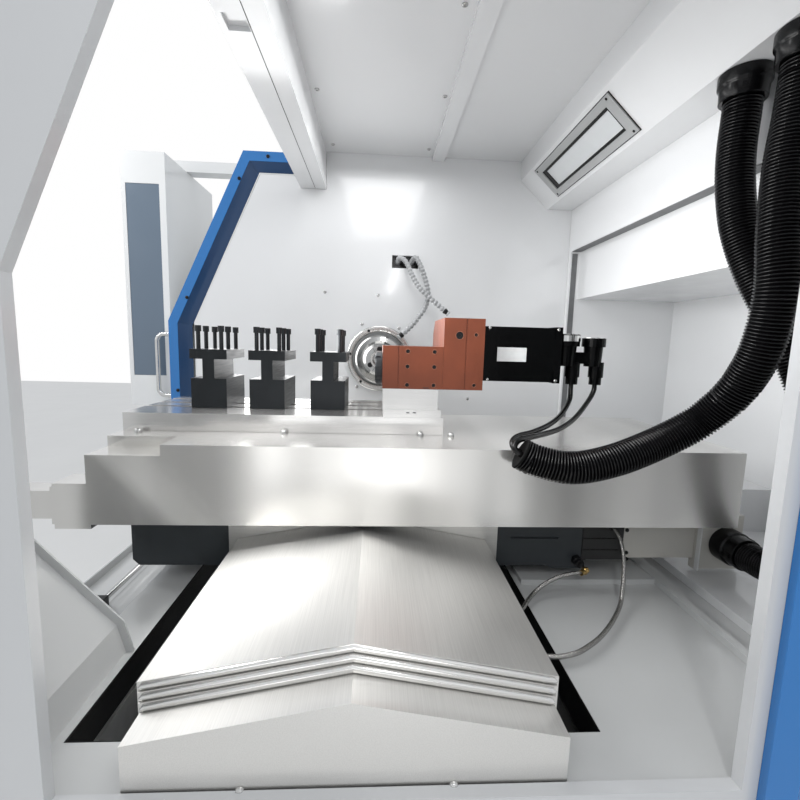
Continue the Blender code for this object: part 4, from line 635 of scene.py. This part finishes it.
def lamp_details():
    around_pane = (((0.0545, 0.244), (0.4365, 0.300)), ((0.0545, 0.704), (0.4365, 0.756)),
                   ((0.0545, 0.300), (0.0740, 0.704)), ((0.4300, 0.300), (0.4365, 0.704)))
    # The thin black bars round the frame paint the shadow in the gap under the frame's edge.
    frame_shadow_line = (((0.0243, 0.084), (0.4667, 0.098)), ((0.0243, 0.902), (0.4667, 0.916)),
                    ((0.0243, 0.098), (0.0257, 0.902)), ((0.4653, 0.098), (0.4667, 0.902)))
    shell = bmesh.new()
    for (x0, low), (x1, high) in around_pane + frame_shadow_line:
        corners = [on_slope(x, share, proud) for proud in (gap, 0.0022)
                   for x, share in ((x0, low), (x1, low), (x1, high), (x0, high))]
        verts = [shell.verts.new(c) for c in corners]
        for face in ((0, 1, 2, 3), (4, 7, 6, 5), (0, 4, 5, 1), (1, 5, 6, 2), (2, 6, 7, 3), (3, 7, 4, 0)):
            shell.faces.new([verts[i] for i in face])
    piece("lamp_gasket_and_shadow_line", shell, black_rubber, "enclosure")
    out = Vector(on_slope(0, 0, 1)) - Vector(on_slope(0, 0, 0))
    screws("lamp_screws", [on_slope(x, share, 0.005) for x in (0.040, 0.453) for share in (0.150, 0.850)],
           out, 0.0032, 0.0020, screw_black, "enclosure")


lamp_details()


# Sliding door: a pressed white frame with a sight glass and a blue leading edge. It hangs on a
# ground rail; the edge's return facet is a darker blue that paints the shade in it, and a round
# steel grip is bolted on.
def glass(name, colour):
    made, tree, shader = start_material(name, colour, 0.04, transmission_weight=0.9)
    shader.inputs["IOR"].default_value = 1.45
    shader.inputs["Alpha"].default_value = 0.6
    tree.links.new(spread(tree, noise(tree, 6.0), 0.02, 0.07), shader.inputs["Roughness"])
    return made


def brushed(name, colour, roughness, grain, contrast=0.14, relief=0.12, metallic=1.0):
    """Sheet or ground steel with its brushing lines along one axis."""
    made, tree, shader = start_material(name, colour, roughness, metallic=metallic)
    stretch = tuple(0.012 if axis == grain else 1.0 for axis in "XYZ")
    fine = noise(tree, 900.0, 4.0, stretch)
    tint(tree, shader, fine, dim(colour, 1.0 - contrast), colour)
    tree.links.new(spread(tree, noise(tree, 5.0, 4.0), roughness - 0.05, roughness + 0.07),
                   shader.inputs["Roughness"])
    bump(tree, shader, fine, relief, 0.0002)
    return made


ground = brushed("ground_steel", (0.70, 0.69, 0.67), 0.19, "Y", 0.10)
bright = brushed("bright_steel", (0.66, 0.66, 0.65), 0.12, "X", 0.06, 0.04)
dress(white, ["door_panel"], 0.0010, 1)
dress(blue, ["door_trim"], 0.0015)
dress(glass("window_glass", (0.78, 0.86, 0.88)), ["door_window"])
dress(ground, ["door_rail"], 0.0008)
screws("trim_screws", [(-0.1120, y, z) for y, z in ((-0.5281, 1.6176), (-0.7102, 1.2255), (-0.7515, 0.9066),
                                                    (-0.4336, 1.6908))],
       (1, 0, 0), 0.0058, 0.0036, screw_black, "door")


def edge_return():
    """The leading edge's inner facet, between the trim's inner side and the sheet behind it, in a darker blue that
    paints its shade.
    """
    line = [Vector((-0.776, 0.440)), Vector((-0.776, 1.146)), Vector((-0.514, 1.706)), Vector((-0.350, 1.706))]

    def inset(depth):
        lines = []
        for a, b in zip(line, line[1:]):
            way = (b - a).normalized()
            lines.append((a + Vector((way.y, -way.x)) * depth, way))
        points = [lines[0][0]]
        for (a, u), (b, v) in zip(lines, lines[1:]):
            cross = u.x * v.y - u.y * v.x
            points.append(a + u * (((b - a).x * v.y - (b - a).y * v.x) / cross))
        last = lines[-1]
        points.append(last[0] + last[1] * (line[3] - line[2]).length)
        return points

    shell = bmesh.new()
    rows = [[shell.verts.new((x, *p)) for p in inset(depth)]
            for x, depth in ((-0.1130, 0.0314), (-0.1390, 0.0700), (-0.1390, 0.0314))]
    for a, b in ((0, 1), (1, 2), (2, 0)):
        for k in range(3):
            shell.faces.new((rows[a][k], rows[b][k], rows[b][k + 1], rows[a][k + 1]))
    for end in (0, 3):
        shell.faces.new([row[end] for row in rows])
    piece("edge_return", shell, enamel("blue_painted_shade", (0.007, 0.048, 0.140), roughness=0.34), "door")


def door_grip():
    x, near, far, bend = -0.175, -0.7770, -0.8460, 0.026
    low, high, middle_y = 0.880, 1.100, -0.820
    quarter = [math.pi / 2 * k / 6 for k in range(7)]
    route = [(x, near, low), (x, -0.800, low)]
    route += [(x, middle_y - bend * math.sin(a), low + bend - bend * math.cos(a)) for a in quarter]
    route += [(x, far, 0.960), (x, far, 1.020)]
    route += [(x, middle_y - bend * math.cos(a), high - bend + bend * math.sin(a)) for a in quarter]
    route += [(x, -0.800, high), (x, near, high)]
    grip, _, _ = tube("door_grip", route, 0.004, plain(0.0079), bright, "door", 24)
    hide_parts("door_handle")


edge_return()
door_grip()


# Operator's console: a white housing on an arm, with a dark screen, blank keys, a dark blue side
# panel set into its pocket and a red stop button.
dress(white, ["console_housing"], 0.0025, 3)
dress(moulded("stop_red", (0.55, 0.015, 0.012), 0.19), ["stop_button"])


def console_details():
    strips("screen_glass", [((-0.5880, -0.9512, 1.3620), (-0.2470, -0.9494, 1.6480))],
           moulded("screen_dark", (0.008, 0.010, 0.013), 0.12, 0.02, coat=0.5), "enclosure")
    first_x, first_z, column_step, row_step = -0.572, 1.101, 0.0372, 0.0350
    keys = []
    for row in range(5):
        for column in range(9):
            x, z = first_x + column * column_step, first_z + row * row_step
            keys.append(((x, -0.9535, z), (x + 0.028, -0.9513, z + 0.026)))
    strips("console_keys", keys, moulded("key_grey", (0.35, 0.36, 0.37), 0.45), "enclosure", 0.0008)
    strips("console_side", [((-0.1988, -0.9406, 0.9504), (-0.1962, -0.8274, 1.6146))],
           enamel("console_blue", (0.13, 0.175, 0.23), roughness=0.22), "enclosure", 0.001)


console_details()


# Spindle: hardened nose ring in the headstock wall and a collet chuck of ground steel, in a darker
# copy of the steel that paints the dark room it reflects. Its collet is slit in three, and three
# wrench holes go into the nut's face; dark plates and discs paint the shade in the slits and holes.
dress(bright, ["spindle", "z_screw", "x_screw"], 0.0006)
# The chuck's steel is a darker copy of the bright steel, which paints the dark reflections in it.
dress(brushed("chuck_steel_painted_reflection", (0.46, 0.46, 0.45), 0.11, "X", 0.06, 0.03), ["chuck"], 0.0006)


def chuck_details():
    axis_y, axis_z = -0.052, 1.036
    turned("collet_ring", (0.0300, axis_y, axis_z), (1, 0, 0),
           [(gap, 0.0212), (gap, 0.0292), (0.0016, 0.0284), (0.0016, 0.0220)], 64, ground, "spindle_group")
    # Dark plates paint the shade in the collet's three slits.
    shell = bmesh.new()
    for k in range(3):
        turn = Matrix.Rotation(math.radians(30 + 120 * k), 3, "X")
        slab(shell, (0.0, -0.0006, 0.0218), (0.0022, 0.0006, 0.0432), 0.0, turn, (0.0302, axis_y, axis_z))
    piece("collet_slot_shade", shell, painted_gap_shade, "spindle_group")
    # Black rimmed discs paint the shade in the nut's three wrench holes.
    hole_circle = 0.034
    shell = bmesh.new()
    for k in range(3):
        angle = math.radians(90 + 120 * k)
        place = (0.0285, axis_y + hole_circle * math.cos(angle), axis_z + hole_circle * math.sin(angle))
        revolve(shell, place, (1, 0, 0),
                [(0.0, 0.0), (0.0, 0.0083), (0.0017, 0.0083), (0.0017, 0.0070), (0.0008, 0.0070), (0.0008, 0.0)],
                24, closed=False)
    piece("wrench_hole_shade", shell, screw_black, "spindle_group", smooth=35)
    turned("nose_ring", (-0.0760, axis_y, axis_z), (1, 0, 0),
           [(gap, 0.0925), (gap, 0.1114), (0.0034, 0.1108), (0.0046, 0.1092), (0.0046, 0.0940), (0.0040, 0.0925)],
           96, ground, "enclosure")
    screw_circle = 0.1015
    places = []
    for k in range(6):
        angle = math.radians(112 + 60 * k)
        places.append((-0.0714, axis_y - screw_circle * math.cos(math.pi - angle),
                       axis_z + screw_circle * math.sin(angle)))
    screws("nose_screws", places, (1, 0, 0), 0.0046, 0.0022, screw_black, "enclosure")


chuck_details()


# Z way covers: four folded stainless roofs that slide into each other. The open ends of three are
# rolled over into a lip, and two dome-head screws hold the last one to the deck.
sheet_x = brushed("stainless_along", (0.77, 0.76, 0.735), 0.34, "X", 0.10, 0.10, 0.82)
dress(sheet_x, ["z_cover_large", "z_cover_mid_1", "z_cover_mid_2", "z_cover_fixed",
                "head_cover_large", "head_cover_mid", "head_cover_fixed"])


def cover_lips():
    edge_steel = brushed("rolled_edge", (0.82, 0.81, 0.79), 0.16, "Y", 0.06, 0.05)
    bed_y, ridge_height, lip_radius, steps = -0.08, 0.046, 0.0026, 10
    for stage, (body, end) in enumerate((("z_carriage", 0.985), ("z_stage_1", 0.988), ("z_stage_2", 0.991))):
        half, ridge = 0.2475 - 0.0018 * stage, 0.744 - 0.011 * stage
        eave = ridge - ridge_height
        line = [(-half, eave - 0.0006), (-half + 0.004, eave + 0.0003), (0.0, ridge), (half - 0.004, eave + 0.0003),
                (half, eave - 0.0006)]
        shell = bmesh.new()
        rings = []
        for k, (y, z) in enumerate(line):
            depth = 0.0048 if 0 < k < 4 else 0.0002
            lean = 0.0 if k == 2 else math.copysign(0.0016, -y)
            ring = []
            for step in range(steps + 1):
                angle = math.pi * step / steps
                ring.append(shell.verts.new((end + gap + lip_radius * math.sin(angle), y + lean + bed_y,
                                             z - 0.0054 + depth * math.cos(angle))))
            rings.append(ring)
        for near, far in zip(rings, rings[1:]):
            for k in range(steps + 1):
                j = (k + 1) % (steps + 1)
                shell.faces.new((near[k], near[j], far[j], far[k]))
        shell.faces.new(rings[0][::-1])
        shell.faces.new(rings[-1])
        piece(f"rolled_lip_{stage}", shell, edge_steel, body, smooth=50)


cover_lips()
screws("fixed_cover_screws", [(1.0350, -0.1976, 0.6100), (1.0350, 0.0342, 0.6100)],
       (1, 0, 0), 0.0052, 0.0050, zinc, "enclosure")


# Saddle and slide: dark painted castings that ride on the ways, with black servo motors. A cream
# cable box is bolted to the saddle's end and holds the third cuff; a wiper plate seals the cover.
dark_paint = cast("dark_paint", (0.030, 0.036, 0.041), 0.40, 0.35)
cream = enamel("cream_enamel", (0.60, 0.585, 0.54), roughness=0.33)
dress(dark_paint, ["saddle", "slide_casting"], 0.0015)
dress(black_plastic, ["z_servo_motor", "x_servo_motor"], 0.0012)
dress(moulded("servo_black", (0.0012, 0.0014, 0.0016), 0.19, shine=0.10), ["head_servo"], 0.0016, 3)
dress(cream, ["cable_box"], 0.0012)
screws("cable_box_screws", [(0.6001, y, z) for y, z in ((0.4722, 0.7150), (0.4748, 0.6653), (0.4761, 0.6514))],
       (1, 0, 0), 0.0042, 0.0030, screw_black, "z_carriage")
strips("motor_bands", [((0.6081, 0.3745, low), (0.6093, 0.4610, high))
                       for low, high in ((0.6540, 0.6750), (0.6765, 0.7000), (0.7015, 0.7325), (0.7340, 0.7465))],
       moulded("motor_black", (0.022, 0.022, 0.022), 0.5), "z_carriage", 0.0004)


def saddle_wiper():
    shell = bmesh.new()
    line = [(-0.3455, 0.6428), (-0.3279, 0.6428), (-0.3279, 0.6983), (-0.0800, 0.7444), (0.1679, 0.6983),
            (0.1679, 0.6428), (0.1932, 0.6428), (0.1932, 0.7490), (-0.3455, 0.7490)]
    rows = [[shell.verts.new((x, *p)) for p in line] for x in (0.6103, 0.6118)]
    shell.faces.new(rows[0])
    shell.faces.new(rows[1][::-1])
    for k in range(len(line)):
        j = (k + 1) % len(line)
        shell.faces.new((rows[0][k], rows[0][j], rows[1][j], rows[1][k]))
    bmesh.ops.triangulate(shell, faces=[f for f in shell.faces if len(f.verts) > 4])
    piece("saddle_wiper", shell, brushed("wiper_steel", (0.74, 0.73, 0.70), 0.36, "Y", 0.06), "z_carriage")


saddle_wiper()
strips("cable_box_flange", [((0.6064, 0.6216, 0.6330), (0.6180, 0.6242, 0.7490))],
       white, "z_carriage", 0.0008)


# Cross slide cover: one folded stainless sheet over the casting. Soft light and dark bands run
# across it, from the front edge to the rear: painted reflections of the room in the steel.
def painted_reflection_steel():
    made, tree, shader = start_material("stainless_painted_reflection", (0.76, 0.74, 0.71), 0.28, metallic=0.80)
    # Light and dark bands across the sheet: a painted reflection of the room.
    bands = noise(tree, 7.0, 1.5, (0.02, 1.0, 0.02))
    tint(tree, shader, bands, (0.58, 0.57, 0.55), (0.88, 0.865, 0.835))
    tree.links.new(spread(tree, noise(tree, 11.0, 2.0, (0.02, 1.0, 0.02)), 0.17, 0.265), shader.inputs["Roughness"])
    bump(tree, shader, noise(tree, 800.0, 3.0, (1.0, 1.0, 0.012)), 0.06, 0.0002)
    return made


dress(painted_reflection_steel(), ["slide_cover"], 0.0016, 3)


# Tool table and riser: ground steel blocks on the cross slide. The table has three T-slots and is
# held down by button screws along its foot; two small slots are milled in the riser's end, and
# dark plates paint the shade in them.
dress(brushed("table_steel", (0.76, 0.75, 0.735), 0.19, "Y", 0.08, 0.08, 0.84), ["slot_table", "head_riser"], 0.0008)
slide_top = 0.9020
screws("button_screws", [(x, y, slide_top) for x, y in ((0.5722, -0.5305), (0.5632, -0.2464), (0.5626, 0.0334),
                                                     (0.5635, 0.0973))],
       (0, 0, 1), 0.0070, 0.0072, zinc, "x_slide")
# Near-black plates paint the shade in the riser's two slots.
strips("riser_slot_shade", [((0.5572, y - 0.0034, z - 0.0009), (0.5576, y + 0.0034, z + 0.0009))
                       for y, z in ((0.0062, 0.9486), (0.0198, 0.9489))], painted_gap_shade, "x_slide")


# Tool posts: milled steel blocks, blackened in hot oxide, that clamp turning tools with screws in
# two rows. The driven tool's nut has the same finish.
oxide = milled("black_oxide", (0.020, 0.023, 0.026), 0.36, 0.4, "X")
dress(oxide, ["tool_post_1", "tool_post_2", "tool_post_3", "live_nut"], 0.0008)


# Driven head: two copper-red bronze blocks and a black servo motor with a bare white label plate.
# Countersunk screws hold the blocks and chromed rings lock the two plugs.
copper_red = milled("copper_red", (0.165, 0.040, 0.016), 0.36, 0.30, "Z")
dress(copper_red, ["head_block_small", "head_block_big"], 0.0010)


screw_holes = [(y, z, 0.0042) for y in (0.003, 0.058) for z in (1.0063, 1.0443, 1.0753)]
screw_holes += [(0.1423, 1.1123, 0.0036), (0.1423, 1.0083, 0.0036)]
block_face, big_hole = 0.5550, (0.1083, 1.1103)


def pale_countersink_rims():
    """Rims of the countersinks, in a paler copper than the blocks."""
    shell = bmesh.new()
    for y, z, radius in screw_holes:
        revolve(shell, (block_face, y, z), (1, 0, 0),
                [(-0.0010, radius - 0.0002), (0.0002, radius + 0.0003), (0.0002, radius + 0.0012),
                 (0.0003, radius + 0.0012), (0.0004, radius + 0.0002), (-0.0010, radius - 0.0005)], 24)
    revolve(shell, (block_face, *big_hole), (1, 0, 0),
            [(-0.0010, 0.0076), (0.0002, 0.0080), (0.0002, 0.0092), (0.0003, 0.0092), (0.0004, 0.0079),
             (-0.0010, 0.0073)], 32)
    piece("pale_countersink_rims", shell, milled("pale_copper", (0.30, 0.12, 0.075), 0.34, 0.7, "X"), "x_slide", smooth=50)


def block_screws():
    shell = bmesh.new()
    for y, z, radius in screw_holes:
        revolve(shell, (0.5500, y, z), (1, 0, 0),
                [(0.0, 0.0), (0.0, radius - 0.0003), (0.003, radius - 0.0003), (0.003, radius * 0.55),
                 (0.001, radius * 0.55), (0.001, 0.0)], 20, closed=False, hexed=(3, 4))
    revolve(shell, (0.5480, *big_hole), (1, 0, 0),
            [(0.0, 0.0), (0.0, 0.0074), (0.004, 0.0074), (0.004, 0.0040), (0.001, 0.0040), (0.001, 0.0)], 28,
            closed=False, hexed=(3, 4))
    piece("block_screws", shell, screw_black, "x_slide", smooth=35)


def plug_rings():
    shell = bmesh.new()
    for y, radius, top in ((0.371, 0.031, 1.121), (0.437, 0.026, 1.114)):
        revolve(shell, (plug_x, y, top), (0, 0, 1),
                [(gap, radius - 0.0075), (gap, radius - 0.0022), (0.0016, radius - 0.0030),
                 (0.0016, radius - 0.0070)], 48)
    revolve(shell, (plug_x, 0.371, 1.121), (0, 0, 1),
            [(-0.0150, 0.0312), (-0.0150, 0.0318), (-0.0020, 0.0318), (-0.0020, 0.0312)], 64)
    piece("plug_rings", shell, bright, "x_slide", smooth=40)


pale_countersink_rims()
block_screws()
# A near-black plate paints the shade in a small slot in the head block's face.
strips("small_slot_shade", [((0.5551, 0.0362, 1.0001), (0.5555, 0.0485, 1.0019))], painted_gap_shade, "x_slide")
strips("motor_label", [((0.4961, 0.2036, 1.0578), (0.4969, 0.2689, 1.0886))],
       moulded("label_white", (0.74, 0.75, 0.75), 0.4, 0.05), "x_slide", 0.0003)
screws("servo_bolts", [(0.4930, y, z) for y in (0.1850, 0.3390) for z in (1.1300, 1.0170)],
       (1, 0, 0), 0.0036, 0.0034, zinc, "x_slide")
plug_rings()


# Studio: a pale floor, white all round and soft lamps at the front, at the camera's end and inside
# the enclosure. Two narrow lamps draw the highlights along the conduits and the folded sheets.
def light(name, place, target, size, power, cone=180):
    data = bpy.data.lights.new(name, "AREA")
    data.shape = "RECTANGLE"
    data.size, data.size_y = size
    data.energy = power
    data.spread = math.radians(cone)
    made = bpy.data.objects.new(name, data)
    bpy.context.collection.objects.link(made)
    made.location = place
    made.rotation_euler = (Vector(target) - Vector(place)).to_track_quat("-Z", "Y").to_euler()
    made.visible_camera = False


def floor():
    half = 9
    shell = bmesh.new()
    shell.faces.new([shell.verts.new(c) for c in ((-half, -half, 0), (half, -half, 0), (half, half, 0),
                                                  (-half, half, 0))])
    piece("floor", shell, enamel("floor_grey", (0.80, 0.80, 0.79), 0.55, 0.0, 0.0), None)


def surroundings():
    world = bpy.data.worlds.new("studio")
    world.use_nodes = True
    tree = world.node_tree
    around = tree.nodes["Background"]
    around.inputs["Color"].default_value = (0.95, 0.97, 1.0, 1.0)
    around.inputs["Strength"].default_value = 0.80
    seen = add(tree, "ShaderNodeBackground")
    seen.inputs["Color"].default_value = (1.0, 1.0, 1.0, 1.0)
    seen.inputs["Strength"].default_value = 1.0
    path = add(tree, "ShaderNodeLightPath")
    clear = add(tree, "ShaderNodeMath", operation="ADD", use_clamp=True)
    tree.links.new(path.outputs["Is Camera Ray"], clear.inputs[0])
    tree.links.new(path.outputs["Is Transmission Ray"], clear.inputs[1])
    mix = add(tree, "ShaderNodeMixShader")
    tree.links.new(clear.outputs["Value"], mix.inputs["Fac"])
    tree.links.new(around.outputs["Background"], mix.inputs[1])
    tree.links.new(seen.outputs["Background"], mix.inputs[2])
    tree.links.new(mix.outputs["Shader"], tree.nodes["World Output"].inputs["Surface"])
    bpy.context.scene.world = world
    bpy.context.scene.view_settings.view_transform = "Standard"


floor()
surroundings()
light("front_daylight", (0.4, -2.4, 2.1), (0.35, 0.1, 0.9), (2.6, 1.8), 7)
light("end_daylight", (2.6, 0.5, 1.4), (0.6, 0.0, 0.9), (1.6, 1.0), 1.0)
light("inside_roof", (0.45, -0.05, 1.66), (0.45, -0.05, 0.9), (0.9, 0.30), 2.7)
light("window_shaft", (0.80, -0.64, 1.08), (0.82, -0.26, 0.70), (0.16, 0.16), 1.0, cone=34)
light("window_shaft_high", (0.60, -0.55, 1.38), (0.62, -0.32, 0.91), (0.16, 0.12), 0.34, cone=34)
light("wall_glow", (-0.05, -0.40, 1.10), (0.70, -0.30, 0.95), (0.45, 0.40), 2.0)
light("floor_glare", (2.4, 0.06, 0.30), (0.68, 0.0, 0.83), (0.52, 0.60), 1.7)
light("floor_glare_left", (2.4, -0.62, 0.52), (0.62, -0.2, 0.88), (0.60, 0.40), 0.7)
light("rear_fill", (0.65, -0.10, 1.22), (0.45, 0.85, 1.02), (0.5, 0.3), 2.5, cone=110)
light("front_strip", (0.30, -1.30, 1.90), (0.70, 0.50, 1.05), (0.06, 1.2), 7.0)
light("end_strip", (1.50, 0.15, 1.80), (0.75, 0.55, 1.10), (0.05, 0.9), 3.0)
